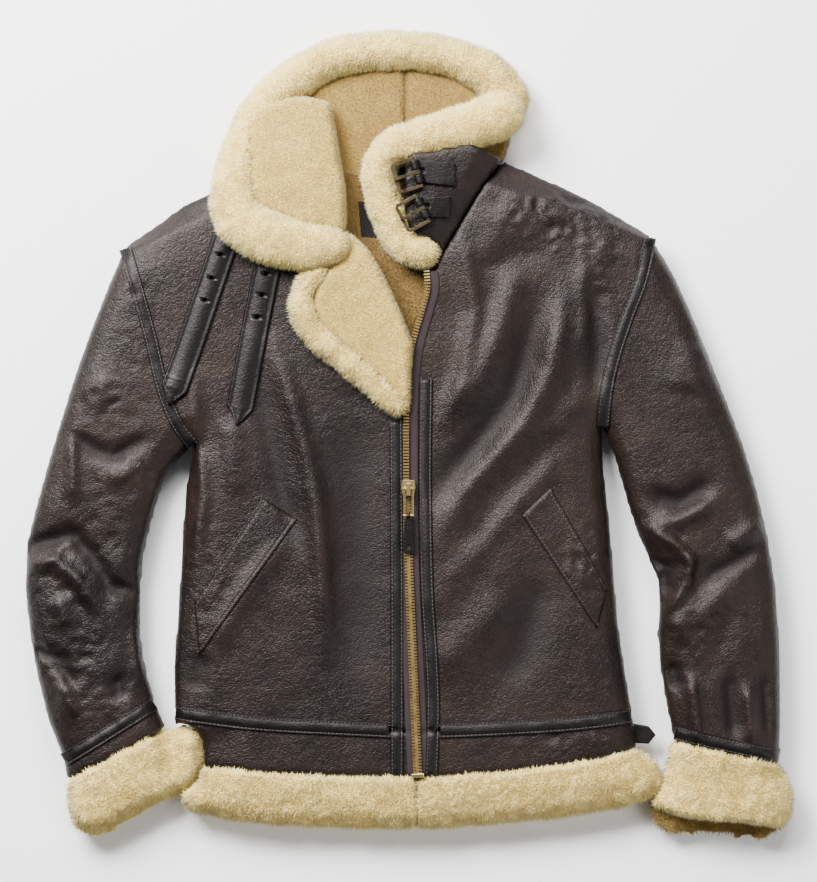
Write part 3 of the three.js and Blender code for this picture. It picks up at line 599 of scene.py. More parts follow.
def lock_mesh():
    """One lock of wool, 1 unit high, leaning over, with its height stored as tip."""
    corners = []
    for side in range(LOCK_SIDES):
        angle = 2 * np.pi * side / LOCK_SIDES
        corners.append((np.cos(angle) * 0.5, np.sin(angle) * 0.5, 0.0))
    corners.append((0.8, 0.0, 1.0))
    faces = [(side, (side + 1) % LOCK_SIDES, LOCK_SIDES) for side in range(LOCK_SIDES)]
    mesh = mesh_of(corners, faces, "lock")
    mesh.attributes.new("tip", "FLOAT", "POINT").data.foreach_set("value", [c[2] for c in corners])
    mesh.polygons.foreach_set("use_smooth", [True] * len(faces))
    return mesh


class Tree:
    """A Geometry Nodes tree under construction, with named inputs."""

    def __init__(self, name, inputs):
        self.tree = bpy.data.node_groups.new(name, "GeometryNodeTree")
        self.tree.interface.new_socket("Geometry", in_out="INPUT", socket_type="NodeSocketGeometry")
        self.ids = {}
        for label, kind in inputs.items():
            made = self.tree.interface.new_socket(label, in_out="INPUT", socket_type=kind)
            self.ids[label] = made.identifier
        self.tree.interface.new_socket("Geometry", in_out="OUTPUT", socket_type="NodeSocketGeometry")
        self.entry = self.tree.nodes.new("NodeGroupInput")
        self.exit = self.tree.nodes.new("NodeGroupOutput")

    def given(self, label):
        return Value(self.tree, self.entry.outputs[label])

    def add(self, kind, settings=None, **inputs):
        return self.given("Geometry").node(kind, settings, **inputs)

    def out(self, node, name=0):
        return Value(self.tree, node.outputs[name])

    def named(self, label, kind):
        made = self.add("GeometryNodeInputNamedAttribute", {"data_type": kind}, Name=label)
        return self.out(made, "Attribute")

    def random(self, low, high, seed):
        made = self.add("FunctionNodeRandomValue", {"data_type": "FLOAT"})
        made.inputs[2].default_value = low
        made.inputs[3].default_value = high
        made.inputs["Seed"].default_value = seed
        return self.out(made, 1)

    def vector(self, operation, first, second):
        made = self.tree.nodes.new("ShaderNodeVectorMath")
        made.operation = operation
        plug(self.tree, made.inputs[0], first)
        plug(self.tree, made.inputs["Scale" if operation == "SCALE" else 1], second)
        return self.out(made)

    def finish(self, geometry):
        """Ends the tree with real geometry in one material."""
        real = self.add("GeometryNodeRealizeInstances", Geometry=geometry)
        coloured = self.add("GeometryNodeSetMaterial", Geometry=self.out(real),
                            Material=self.given("Material"))
        self.tree.links.new(coloured.outputs[0], self.exit.inputs[0])
        return self


def fleece_tree():
    """Plants locks on faces: denser, longer and leaning as the base mesh's numbers say."""
    tree = Tree("fleece", {
        "Lock": "NodeSocketObject", "Density": "NodeSocketFloat", "Length": "NodeSocketFloat",
        "Width": "NodeSocketFloat", "Spread": "NodeSocketFloat", "Seed": "NodeSocketInt",
        "Material": "NodeSocketMaterial",
    })
    density = tree.given("Density") * tree.named("cover", "FLOAT")
    points = tree.add("GeometryNodeDistributePointsOnFaces", Mesh=tree.given("Geometry"), Density=density,
                      Seed=tree.given("Seed"))
    scatter = tree.add("FunctionNodeRandomValue", {"data_type": "FLOAT_VECTOR"})
    scatter.inputs[0].default_value = (-1, -1, -1)
    scatter.inputs[1].default_value = (1, 1, 1)
    scatter.inputs["Seed"].default_value = 5
    spread = tree.vector("SCALE", tree.out(scatter, 0), tree.given("Spread"))
    leaning = tree.vector("ADD", tree.out(points, "Normal"), tree.named("lean", "FLOAT_VECTOR"))
    direction = tree.vector("ADD", leaning, spread)
    upright = tree.add("FunctionNodeAlignRotationToVector", {"axis": "Z"}, Vector=direction)
    about = tree.add("FunctionNodeAxisAngleToRotation", Angle=tree.random(0.0, 6.283, 11))
    about.inputs["Axis"].default_value = (0, 0, 1)
    turned = tree.add("FunctionNodeRotateRotation", {"rotation_space": "LOCAL"}, Rotation=tree.out(upright),
                      Rotate_By=tree.out(about))
    toned = tree.add("GeometryNodeStoreNamedAttribute", {"data_type": "FLOAT", "domain": "POINT"},
                     Geometry=tree.out(points, "Points"), Name="tone", Value=tree.random(0.0, 1.0, 17))
    length = tree.given("Length") * tree.named("shag", "FLOAT") * tree.random(0.7, 1.3, 23)
    width = tree.given("Width") * tree.random(0.75, 1.25, 29)
    scale = tree.add("ShaderNodeCombineXYZ", X=width, Y=width, Z=length)
    lock = tree.add("GeometryNodeObjectInfo", Object=tree.given("Lock"))
    planted = tree.add("GeometryNodeInstanceOnPoints", Points=tree.out(toned),
                       Instance=tree.out(lock, "Geometry"), Rotation=tree.out(turned), Scale=tree.out(scale))
    return tree.finish(tree.out(planted))


def hidden_object(name, mesh):
    """An object used only as a pattern by the trees; removed before the end."""
    pattern = bpy.data.objects.new(name, mesh)
    bpy.context.scene.collection.objects.link(pattern)
    return pattern


def grown(base_mesh, tree, **inputs):
    """Runs a tree once on a mesh and returns the plain mesh that it makes."""
    holder = bpy.data.objects.new("holder", base_mesh)
    bpy.context.scene.collection.objects.link(holder)
    modifier = holder.modifiers.new("grow", "NODES")
    modifier.node_group = tree.tree
    for label, value in inputs.items():
        modifier[tree.ids[label]] = value
    bpy.context.view_layer.update()
    changed = holder.evaluated_get(bpy.context.evaluated_depsgraph_get())
    result = bpy.data.meshes.new_from_object(changed)
    bpy.data.objects.remove(holder)
    return result


fleece = fleece_tree()
lock = hidden_object("lock_pattern", lock_mesh())
print("fleece tree has", len(fleece.tree.nodes), "nodes")

# %% Wool pads and their locks
WOOL = {
    # node: cut filled, locks per m2, lock length (mm), spread, lean (x, y), clump height, drawn in (mm)
    "rim_back": (0.8, 750000, 5.5, 0.32, (0.0, 0.0), 1.8, 1.6),
    "rim_left": (0.8, 750000, 5.5, 0.32, (0.0, 0.0), 1.8, 1.6),
    "collar_back": (0.6, 420000, 3.6, 0.4, (0.0, -0.2), 0.8, 1.0),
    "collar_right": (0.6, 700000, 3.8, 0.35, (-0.1, -0.3), 1.0, -1.0),
    "lapel": (0.6, 700000, 3.8, 0.35, (-0.2, -0.2), 0.9, -1.2),
    "lapel_trim": (0.8, 750000, 6.5, 0.4, (-0.3, -0.3), 2.2, 1.6),
    "hem_fur_right": (0.8, 750000, 6.0, 0.38, (0.0, -0.3), 2.2, 1.6),
    "hem_fur_left": (0.8, 750000, 6.0, 0.38, (0.0, -0.3), 2.2, 1.6),
    "hem_fur_back": (0.8, 220000, 6.0, 0.4, (0.0, -0.3), 2.0, 1.8),
    "cuff_fur_right_upper": (0.8, 750000, 6.0, 0.38, (0.1, -0.2), 2.2, 1.6),
    "cuff_fur_right_under": (0.8, 220000, 6.0, 0.4, (0.1, -0.2), 2.0, 1.8),
    "cuff_fur_left_upper": (0.8, 750000, 6.0, 0.38, (0.0, -0.2), 2.2, 1.6),
    "cuff_fur_left_under": (0.8, 420000, 5.5, 0.4, (0.0, -0.2), 1.6, 1.0),
}
# pads given the darker wool as painted shade
SHADE_PAINTED_PADS = ("collar_back", "cuff_fur_left_under")
SHEARED_WOOL = ("collar_right", "lapel")
COLLAR_SEAM = -0.004      # where the two halves of the inner collar are joined


def normals_of(mesh):
    directions = np.empty(len(mesh.vertices) * 3)
    mesh.vertex_normals.foreach_get("vector", directions)
    return directions.reshape(-1, 3)


def clumped(mesh, height, size=0.016, seam=None):
    """Swells a pad into clumps, and stores the partings, for painted shade, and which way each clump leans.
    """
    places = places_of(mesh)
    directions = normals_of(mesh)
    swell = np.zeros(len(places))
    lean = np.zeros_like(places)
    painted_groove_shade = np.zeros(len(places))
    for i, place in enumerate(places):
        wobble = noise.noise_vector(Vector(place) / 0.013) * 0.6
        near, seeds = noise.voronoi(Vector(place) / size + wobble)
        swell[i] = 0.8 * min(1.0, (near[1] - near[0]) * 1.3) - 0.5 + noise.noise(Vector(place) / 0.024)
        lean[i] = Vector(seeds[0]) - Vector(place) / size - wobble
        # partings between clumps, stored for the wool's painted shade
        painted_groove_shade[i] = max(0.0, 1.0 - (near[1] - near[0]) * 3.0) * height / 3
    free = np.clip((directions[:, 2] + 0.5) / 0.6, 0, 1)
    move_places(mesh, places + directions * (swell * free * height / 1000)[:, None])
    # the seam is sunk as a groove and painted darker in it as painted shade
    if seam is not None:
        near_seam = np.exp(-((places[:, 0] - seam) / 0.003) ** 2)
        painted_groove_shade = np.maximum(painted_groove_shade, near_seam * 1.2)
        move_places(mesh, places_of(mesh) - directions * (near_seam * 0.003)[:, None])
    set_numbers(mesh, "painted_groove_shade", painted_groove_shade)
    return lean


def drawn_in(mesh, depth):
    """Shrinks a pad a little, so that its locks end at the CAD outline."""
    move_places(mesh, places_of(mesh) - normals_of(mesh) * depth / 1000)
    return mesh


for seed, (node, (fill, density, length, spread, lean, clumps, room)) in enumerate(WOOL.items()):
    pad = drawn_in(rounded(node, WOOL_GRID, 6), room)
    toward = clumped(pad, clumps, seam=COLLAR_SEAM if node == "collar_back" else None)
    colour = shade_painted_wool if node in SHADE_PAINTED_PADS else sheared_wool if node in SHEARED_WOOL else cream_wool
    directions = normals_of(pad)
    underneath = "under" in node or node.endswith("_back") and "hem" in node
    facing = -directions[:, 2] if underneath else directions[:, 2]
    cover = np.clip((facing + 0.55) / 0.3, 0, 1)
    set_numbers(pad, "cover", np.ones(len(facing)) if node == "cuff_fur_left_under" else cover)
    set_numbers(pad, "shag", 1.0 - 0.5 * np.clip(facing, 0, 1))
    tilt = toward * clumps * 0.3
    tilt[:, :2] += lean
    pad.attributes.new("lean", "FLOAT_VECTOR", "POINT").data.foreach_set("vector", tilt.ravel())
    locks = grown(pad, fleece, Lock=lock, Density=float(density), Length=length / 1000, Width=LOCK_WIDTH,
                  Spread=spread, Seed=seed + 3, Material=colour)
    piece = finished(node + "_pad", pad, colour)
    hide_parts(node)
    coat_of_locks = finished(node + "_locks", locks, colour)
    print(f"{node}: pad {len(pad.polygons)} faces, locks {len(locks.polygons)} faces")

# %% [markdown]
# ## Tapes, strips and straps
#
# Every leather seam is covered by a narrow tape sewn along both edges, and the zip edges by
# wider strips. A ribbon follows a centre line over the leather: for each place along it the
# height of the leather below is found by dropping a ray, so the tape bends with the folds.


# %% Ribbons that lie on the leather
def tree_of(meshes):
    """One ray-casting tree over several meshes."""
    corners, faces = [], []
    for mesh in meshes:
        first = len(corners)
        corners.extend(v.co.copy() for v in mesh.vertices)
        faces.extend([first + i for i in p.vertices] for p in mesh.polygons)
    return BVHTree.FromPolygons(corners, faces)


def height_on(tree, x, y, otherwise=None):
    """Height in mm of the surface below a place, both in mm."""
    hit = tree.ray_cast(Vector((x / 1000, y / 1000, 0.3)), Vector((0, 0, -1)))[0]
    return otherwise if hit is None else hit.z * 1000


def walked(points, step):
    """Even places along a softly rounded line, each with its forward direction."""
    fine = []
    padded = [points[0], *points, points[-1]]
    for before, a, b, after in zip(padded, padded[1:], padded[2:], padded[3:]):
        for share in np.linspace(0, 1, 24, endpoint=False):
            turn = [0.5 * (2 * a[k] + (b[k] - before[k]) * share
                           + (2 * before[k] - 5 * a[k] + 4 * b[k] - after[k]) * share**2
                           + (3 * a[k] - before[k] - 3 * b[k] + after[k]) * share**3) for k in (0, 1)]
            fine.append(turn)
    fine.append(list(points[-1]))
    fine = np.array(fine)
    lengths = np.concatenate([[0], np.cumsum(np.hypot(*np.diff(fine, axis=0).T))])
    count = max(2, int(round(lengths[-1] / step)) + 1)
    at = np.linspace(0, lengths[-1], count)
    places = np.stack([np.interp(at, lengths, fine[:, k]) for k in (0, 1)], axis=1)
    ahead = np.gradient(places, axis=0)
    return places, ahead / np.linalg.norm(ahead, axis=1)[:, None], at


# Across a ribbon, from one edge to the other: place (share of half width) and height (share of thickness).
RIBBON_SECTION = [(-1.0, 0.20), (-0.95, 0.80), (-0.84, 1.05), (-0.72, 0.62), (-0.56, 1.0), (0.0, 1.25),
                  (0.56, 1.0), (0.72, 0.62), (0.84, 1.05), (0.95, 0.80), (1.0, 0.20)]


def evened(values, reach):
    """Values averaged over their neighbours."""
    widened = np.pad(np.array(values, float), reach, mode="edge")
    return np.convolve(widened, np.ones(2 * reach + 1) / (2 * reach + 1), mode="valid")


def ribbon(ground, points, wide, thick, section=RIBBON_SECTION, rise=0.0, taper=None, step=3.0,
           level=False):
    """A closed band of leather along a line, lying on the ground below it."""
    places, ahead, at = walked(points, step)
    across = np.stack([-ahead[:, 1], ahead[:, 0]], axis=1)
    corners, rows = [], len(section)
    for place, side, far in zip(places, across, at):
        half = wide / 2 * (taper(far, at[-1]) if taper else 1.0)
        spots = [place + side * half * share for share, _ in section]
        heights = [height_on(ground, *spot) for spot in spots]
        known = [h for h in heights if h is not None] or [LAYER_MEET]
        heights = [min(known) if h is None else h for h in heights]
        edge = (heights[0] + heights[-1]) / 2
        heights = [max(h, edge - 0.5) if 0 < i < rows - 1 else h for i, h in enumerate(heights)]
        if level:
            heights = [max(heights)] * rows
        corners += [(s[0], s[1], h + rise + top * thick) for s, h, (_, top) in zip(spots, heights, section)]
        corners += [(s[0], s[1], h + rise - 0.4) for s, h in zip(spots, heights)]
    faces, ring = [], 2 * rows
    for i in range(len(places) - 1):
        a, b = i * ring, (i + 1) * ring
        for k in range(rows - 1):
            faces.append((a + k + 1, a + k, b + k, b + k + 1))
            faces.append((a + rows + k, a + rows + k + 1, b + rows + k + 1, b + rows + k))
        faces.append((a, a + rows, b + rows, b))
        faces.append((a + 2 * rows - 1, a + rows - 1, b + rows - 1, b + 2 * rows - 1))
    for first, turn in ((0, 1), ((len(places) - 1) * ring, -1)):
        for k in range(rows - 1):
            face = (first + k, first + k + 1, first + rows + k + 1, first + rows + k)
            faces.append(face[::turn])
    return mesh_of(np.array(corners) / 1000, faces, "ribbon")


def outward(mesh):
    """Turns all faces outward."""
    shape = bmesh.new()
    shape.from_mesh(mesh)
    bmesh.ops.remove_doubles(shape, verts=shape.verts, dist=1e-6)
    bmesh.ops.recalc_face_normals(shape, faces=shape.faces)
    shape.to_mesh(mesh)
    shape.free()
    return mesh


# %% A tree that sets small pieces in a row
def row_tree():
    """Sets one small piece at even steps along lines, its X along the line and its Z up."""
    tree = Tree("row", {
        "Piece": "NodeSocketObject", "Pitch": "NodeSocketFloat", "Material": "NodeSocketMaterial",
    })
    line = tree.add("GeometryNodeMeshToCurve", Mesh=tree.given("Geometry"))
    spaced = tree.add("GeometryNodeResampleCurve", {"mode": "LENGTH"}, Curve=tree.out(line),
                      Length=tree.given("Pitch"))
    tangent = tree.add("GeometryNodeInputTangent")
    along = tree.add("FunctionNodeAlignRotationToVector", {"axis": "X"}, Vector=tree.out(tangent))
    up = tree.add("FunctionNodeAlignRotationToVector", {"axis": "Z", "pivot_axis": "X"},
                  Rotation=tree.out(along))
    up.inputs["Vector"].default_value = (0, 0, 1)
    piece = tree.add("GeometryNodeObjectInfo", Object=tree.given("Piece"))
    set_out = tree.add("GeometryNodeInstanceOnPoints", Points=tree.out(spaced),
                       Instance=tree.out(piece, "Geometry"), Rotation=tree.out(up))
    return tree.finish(tree.out(set_out))


def stitch_mesh():
    """One stitch: a short thread, sunk at both ends."""
    corners = []
    for x, high, wide in ((-0.5, -0.25, 0.28), (-0.36, 0.30, 0.40), (0.36, 0.30, 0.40), (0.5, -0.25, 0.28)):
        for y, z in ((-wide, -0.25), (-wide * 0.7, high), (wide * 0.7, high), (wide, -0.25)):
            corners.append((x * STITCH_LONG, y, z))
    faces = [(0, 1, 2, 3), (15, 14, 13, 12)]
    for ring in range(3):
        for side in range(4):
            low, high = ring * 4, ring * 4 + 4
            after = (side + 1) % 4
            faces.append((low + after, low + side, high + side, high + after))
    return outward(mesh_of(np.array(corners) / 1000, faces, "stitch"))


rows = row_tree()
stitch = hidden_object("stitch_pattern", stitch_mesh())


def line_mesh(runs):
    """Open runs of joined corners, in mm, as a mesh of edges."""
    corners, edges = [], []
    for run in runs:
        first = len(corners)
        corners.extend(np.array(run) / 1000)
        edges.extend((first + i, first + i + 1) for i in range(len(run) - 1))
    mesh = bpy.data.meshes.new("line")
    mesh.from_pydata([tuple(c) for c in corners], edges, [])
    return mesh


def sewn(name, runs, pitch=STITCH_PITCH):
    """A row of stitches along each run of places."""
    stitches = grown(line_mesh(runs), rows, Piece=stitch, Pitch=pitch / 1000, Material=thread)
    return finished(name, stitches, thread)


def edge_runs(ground, points, wide, thick, share=0.72, stop=1.0, step=3.0):
    """The two lines of sewing inside the edges of a ribbon."""
    places, ahead, at = walked(points, step)
    across = np.stack([-ahead[:, 1], ahead[:, 0]], axis=1)
    runs = []
    for side in (-1, 1):
        run = []
        for place, right, far in zip(places, across, at):
            if far <= stop * at[-1]:
                x, y = place + right * side * share * wide / 2
                height = height_on(ground, x, y)
                if height is not None:
                    run.append((x, y, height + thick * 0.70))
        runs.append(run)
    return runs


leather_ground = tree_of([skins[n] for n in skins if PANELS[n][0] == "top" and n != "collar_left"])
print("stitch rows ready")

# %% Seam tapes and zip strips
SHIFT = (1.15, -2.17)    # the lines below were measured before the frame was centred
TAPES = {
    # node: width, points of its middle line
    "armhole_tape_right": (
        TAPE_WIDE, [(-284, 189), (-272, 150), (-258, 100), (-246, 50), (-232, 15), (-216, -7)]),
    "armhole_tape_left": (
        TAPE_WIDE, [(239.3, 200), (230, 158), (215, 118), (202, 78), (195, 45), (192, 10)]),
    "hem_tape_right": (HEM_TAPE_WIDE, [(-234, -274), (-150, -284), (-60, -289), (-21, -291)]),
    "hem_tape_left": (HEM_TAPE_WIDE, [(30, -291), (60, -290), (150, -285), (221, -277)]),
    "cuff_tape_right": (14.0, [(-345, -321), (-300, -293), (-255, -265)]),
    "cuff_tape_left": (14.0, [(264, -294), (316, -306), (369, -317)]),
    "strip_right": (13.0, [(-14, 16), (-13, -160), (-13, -342)]),
    "strip_left": (13.0, [(16, 58), (15, -42), (17, -150), (23, -255), (21, -342)]),
}
for node, (wide, points) in TAPES.items():
    line = [(x + SHIFT[0], y + SHIFT[1]) for x, y in points]
    band = outward(ribbon(leather_ground, line, wide, TAPE_THICK))
    piece = finished(node + "_band", band, trim_leather)
    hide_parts(node)
    long = np.sum(np.hypot(*np.diff(np.array(points), axis=0).T))
    sewn(node + "_stitches", edge_runs(leather_ground, line, wide, TAPE_THICK))
print("tapes:", len(TAPES))

# %% [markdown]
# ## Pocket welts
#
# Each slash pocket is framed by a welt of the coat's own leather. Its two long edges are
# turned and stitched, so they stand up as thin ridges, and the skin between them is slack.


# %% Pocket welts
def patch(ground, corners, thick, rim=1.1, inset=3.4, across=26, down=44):
    """A four-cornered piece of leather with raised edges, lying on the ground."""
    a, b, c, d = (np.array(corner, float) for corner in corners)
    grid = []
    for v in np.linspace(0, 1, down):
        for u in np.linspace(0, 1, across):
            x, y = (a * (1 - u) + b * u) * (1 - v) + (d * (1 - u) + c * u) * v
            edge = min(u * np.linalg.norm(b - a), (1 - u) * np.linalg.norm(b - a))
            ridge = rim * np.exp(-((edge - 1.4) / 1.1) ** 2) - 0.9 * np.exp(-((edge - inset) / 1.1) ** 2)
            side = min(u, 1 - u, v, 1 - v)
            top = thick * (0.25 if side == 0 else 1.0) + ridge
            height = height_on(ground, x, y, LAYER_MEET + 20)
            grid.append((x, y, height + top))
    under = [(x, y, height_on(ground, x, y, LAYER_MEET + 20) - 0.4) for x, y, _ in grid]
    corners_all = grid + under
    total = across * down
    faces = []
    for j in range(down - 1):
        for i in range(across - 1):
            k = j * across + i
            faces.append((k, k + across, k + across + 1, k + 1))
            faces.append((total + k, total + k + 1, total + k + across + 1, total + k + across))
    border = [i for i in range(across)] + [j * across + across - 1 for j in range(1, down)]
    border += [(down - 1) * across + i for i in range(across - 2, -1, -1)]
    border += [j * across for j in range(down - 2, 0, -1)]
    for first, second in zip(border, border[1:] + border[:1]):
        faces.append((first, second, second + total, first + total))
    return outward(mesh_of(np.array(corners_all) / 1000, faces, "patch"))


WELTS = {
    "welt_right": [(-147, -59), (-112, -81), (-210, -217), (-215, -162)],
    "welt_left": [(111, -77), (140, -49), (197, -150), (186, -190)],
}
for node, corners in WELTS.items():
    corners = [(x + SHIFT[0], y + SHIFT[1]) for x, y in corners]
    welt = finished(node + "_leather", patch(leather_ground, corners, 1.8), coat_leather)
    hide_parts(node)
    wide = np.hypot(*np.subtract(corners[1], corners[0]))
    long = np.hypot(*np.subtract(corners[2], corners[1]))
    runs = []
    for first, last, inward in ((corners[0], corners[3], corners[1]), (corners[1], corners[2], corners[0])):
        way = np.subtract(inward, first) / np.linalg.norm(np.subtract(inward, first))
        start, stop = np.add(first, way * 3.4), np.add(last, way * 3.4)
        steps = np.linspace(0.02, 0.98, 60)
        spots = [start * (1 - s) + stop * s for s in steps]
        runs.append([(x, y, height_on(leather_ground, x, y, 45) + 1.0) for x, y in spots])
    sewn(node + "_stitches", runs)
print("welts:", len(WELTS))

# %% [markdown]
# ## The zip
#
# A heavy brass zip closes the lower half. Each side is a woven tape with cast teeth clamped
# on its bead. Below the slider the two rows lock into one chain, and above it only the
# wearer's left row is seen, running up the edge of the front.

# %% Zip tapes and teeth
ZIP_ABOVE = [(-3, 14), (-3, 23), (-2, 50), (2, 88), (13, 128), (18, 148), (17, 166)]
ZIP_BELOW = [(-3, 14), (-2, -117), (4, -250), (8, -338)]
OPEN_TEETH = [(-0.6, -41), (-0.6, 23), (0.4, 50), (4.4, 88), (15.4, 128), (20.4, 148), (19.4, 166)]
CHAIN = [(-2, -60), (-1.6, -117), (4, -250), (7.6, -333)]
TEETH_LIFT = 1.7         # middle of the teeth above the tape
TOOTH_REACH = 4.1        # outer end of a tooth from the middle of the zip


def shifted(points, right=0.0):
    return [(x + SHIFT[0] + right, y + SHIFT[1]) for x, y in points]


TAPE_SECTION = [(-1.0, 0.5), (-0.8, 1.0), (0.8, 1.0), (1.0, 0.5)]
ZIP_TAPE_WIDE = 11.0
ZIP_TAPE_THICK = 1.3
ZIP_TAPES = {
    # node: middle line, whole length
    "zip_tape_right": (shifted(ZIP_BELOW, -4.7), 352),
    "zip_tape_left": (shifted([(8, -338), (4, -250), (-2, -117), *ZIP_ABOVE], 5.6), 505),
}
for node, (line, long) in ZIP_TAPES.items():
    band = outward(ribbon(leather_ground, line, ZIP_TAPE_WIDE, ZIP_TAPE_THICK, TAPE_SECTION, level=True))
    xs = places_of(band)
    set_numbers(band, "across", xs[:, 0])
    set_numbers(band, "along", xs[:, 1])
    piece = finished(node + "_woven", band, zip_cloth)
    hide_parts(node)
    long / 1000


def tooth_mesh(reach, inner):
    """One zip tooth lying across the line, from outside in to the middle."""
    shape = bmesh.new()
    bmesh.ops.create_cube(shape, size=1.0)
    for corner in shape.verts:
        middle = corner.co.y * reach > 0
        corner.co.x *= 1.5 if middle else 1.2
        corner.co.z *= 2.4
        corner.co.y = reach * (TOOTH_REACH if corner.co.y * reach < 0 else inner)
    bmesh.ops.bevel(shape, geom=shape.edges[:], offset=0.3, segments=1, affect="EDGES")
    mesh = bpy.data.meshes.new("tooth")
    for corner in shape.verts:
        corner.co /= 1000
    shape.to_mesh(mesh)
    shape.free()
    return outward(mesh)


def teeth_line(points, rise, sideways=0.0):
    """The line of a row of teeth, lifted off the ground."""
    places, ahead, _ = walked(shifted(points), 2.0)
    across = np.stack([-ahead[:, 1], ahead[:, 0]], axis=1)
    run = []
    for place, side in zip(places, across):
        x, y = place + side * sideways
        beside = [height_on(leather_ground, *(place + side * aside), 40.0) for aside in (-7, -3, 3, 7)]
        run.append((x, y, max(beside) + rise))
    smooth = evened([z for _, _, z in run], 4)
    return [(x, y, z) for (x, y, _), z in zip(run, smooth)]


def tooth_pair():
    """A tooth of each side, the right one half a pitch further on."""
    pair = bmesh.new()
    pair.from_mesh(tooth_mesh(1, -1.3))
    first = len(pair.verts)
    pair.from_mesh(tooth_mesh(-1, -1.3))
    pair.verts.ensure_lookup_table()
    bmesh.ops.translate(pair, verts=pair.verts[first:], vec=(TOOTH_PITCH / 2000, 0, 0))
    mesh = bpy.data.meshes.new("tooth_pair")
    pair.to_mesh(mesh)
    pair.free()
    return mesh


tooth = hidden_object("tooth", tooth_mesh(1, -1.0))
pair = hidden_object("tooth_pair", tooth_pair())
rise = ZIP_TAPE_THICK + TEETH_LIFT
ROWS_OF_TEETH = [
    # name, pattern, line, sideways, CAD node
    ("closed_chain", pair, CHAIN, 0.0, "zip_chain"),
    ("open_row", tooth, OPEN_TEETH, 1.6, "zip_teeth_open"),
]
for name, pattern, points, sideways, node in ROWS_OF_TEETH:
    teeth = grown(line_mesh([teeth_line(points, rise, sideways=sideways)]), rows, Piece=pattern,
                  Pitch=TOOTH_PITCH / 1000, Material=brass)
    row = finished(name, teeth, brass, smooth=False)
    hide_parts(node)
    print(name, len(teeth.polygons), "faces")


# %% Hard parts, softened at their edges
def polished(node, bevel, body="coat", material=brass):
    """A CAD node's copy with its flat facets joined and its sharp edges rounded."""
    flat = ("DECIMATE", {"decimate_type": "DISSOLVE", "angle_limit": 0.06})
    soft = ("BEVEL", {"width": bevel / 1000, "segments": 2, "limit_method": "ANGLE", "angle_limit": 0.7})
    piece = finished(node + "_polished", baked(welded(node), flat, soft), material, body, smooth=False)
    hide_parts(node)
    return piece


polished("zip_slider", 0.7)
polished("zip_link", 0.45, "pull")
polished("zip_stop", 0.5)
polished("buckle_top", 0.7, "frame_top", old_brass)
polished("buckle_low", 0.7, "frame_low", old_brass)
polished("prong_top", 0.5, "tongue_top", old_brass)
polished("prong_low", 0.5, "tongue_low", old_brass)


def soft_leather_part(node, size, body="coat"):
    """A small leather part, remeshed so that its edges are round."""
    piece = finished(node + "_leather", rounded(node, size, 3), trim_leather, body)
    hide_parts(node)
    return piece


PULL_END = 5.0           # round end of the pull, mm


def shaped_pull(piece):
    """Narrows the pull towards its link and rounds its free end."""
    places = places_of(piece.data)
    middle = (places[:, 0].min() + places[:, 0].max()) / 2
    low, high = places[:, 1].min(), places[:, 1].max()
    share = (places[:, 1] - low) / (high - low)
    from_end = np.clip((places[:, 1] - low) / (PULL_END / 1000), 0.12, 1)
    width = (1.0 - 0.34 * np.clip(share * 1.3, 0, 1)) * np.sqrt(1 - (1 - from_end) ** 2)
    places[:, 0] = middle + (places[:, 0] - middle) * width
    move_places(piece.data, places)


def tucked(piece, reach):
    """Stretches a part's near end under the panel beside it."""
    places = places_of(piece.data)
    low, high = places[:, 0].min(), places[:, 0].max()
    places[:, 0] -= reach * np.clip(1 - (places[:, 0] - low) / (high - low), 0, 1)
    move_places(piece.data, places)


pull = soft_leather_part("zip_pull", 0.0006, "pull")
shaped_pull(pull)
tab = soft_leather_part("hem_tab_left", 0.0009)
tucked(tab, 0.005)
short_straps = [soft_leather_part("strap_short_top", 0.0008), soft_leather_part("strap_short_low", 0.0008)]
for piece, flat in ((pull, (0.012, 0.038)), (tab, (0.024, 0.022)), (short_straps[0], (0.024, 0.06)),
                    (short_straps[1], (0.022, 0.05))):
    half = sum(f.area for f in piece.data.polygons) / 2
    print(piece.name, len(piece.data.polygons), "faces, cloth share", round(half / (flat[0] * flat[1]), 2))

# %% Long collar straps
LONG_STRAPS = {
    # node: line from the collar to the tip, middles of its three holes
    "strap_long_outer": ([(-183, 198), (-211, 115), (-240, 33)], [(-188, 182), (-197, 159), (-204, 137)]),
    "strap_long_inner": ([(-139, 184), (-156, 99), (-172, 13)], [(-143, 163), (-147, 142), (-152, 120)]),
}
TIP_LONG = 17.0
HOLE_RADIUS = 2.3


def pointed(far, whole):
    """Share of the full width along a strap that ends in a point."""
    return min(1.0, max(0.06, (whole - far) / TIP_LONG))


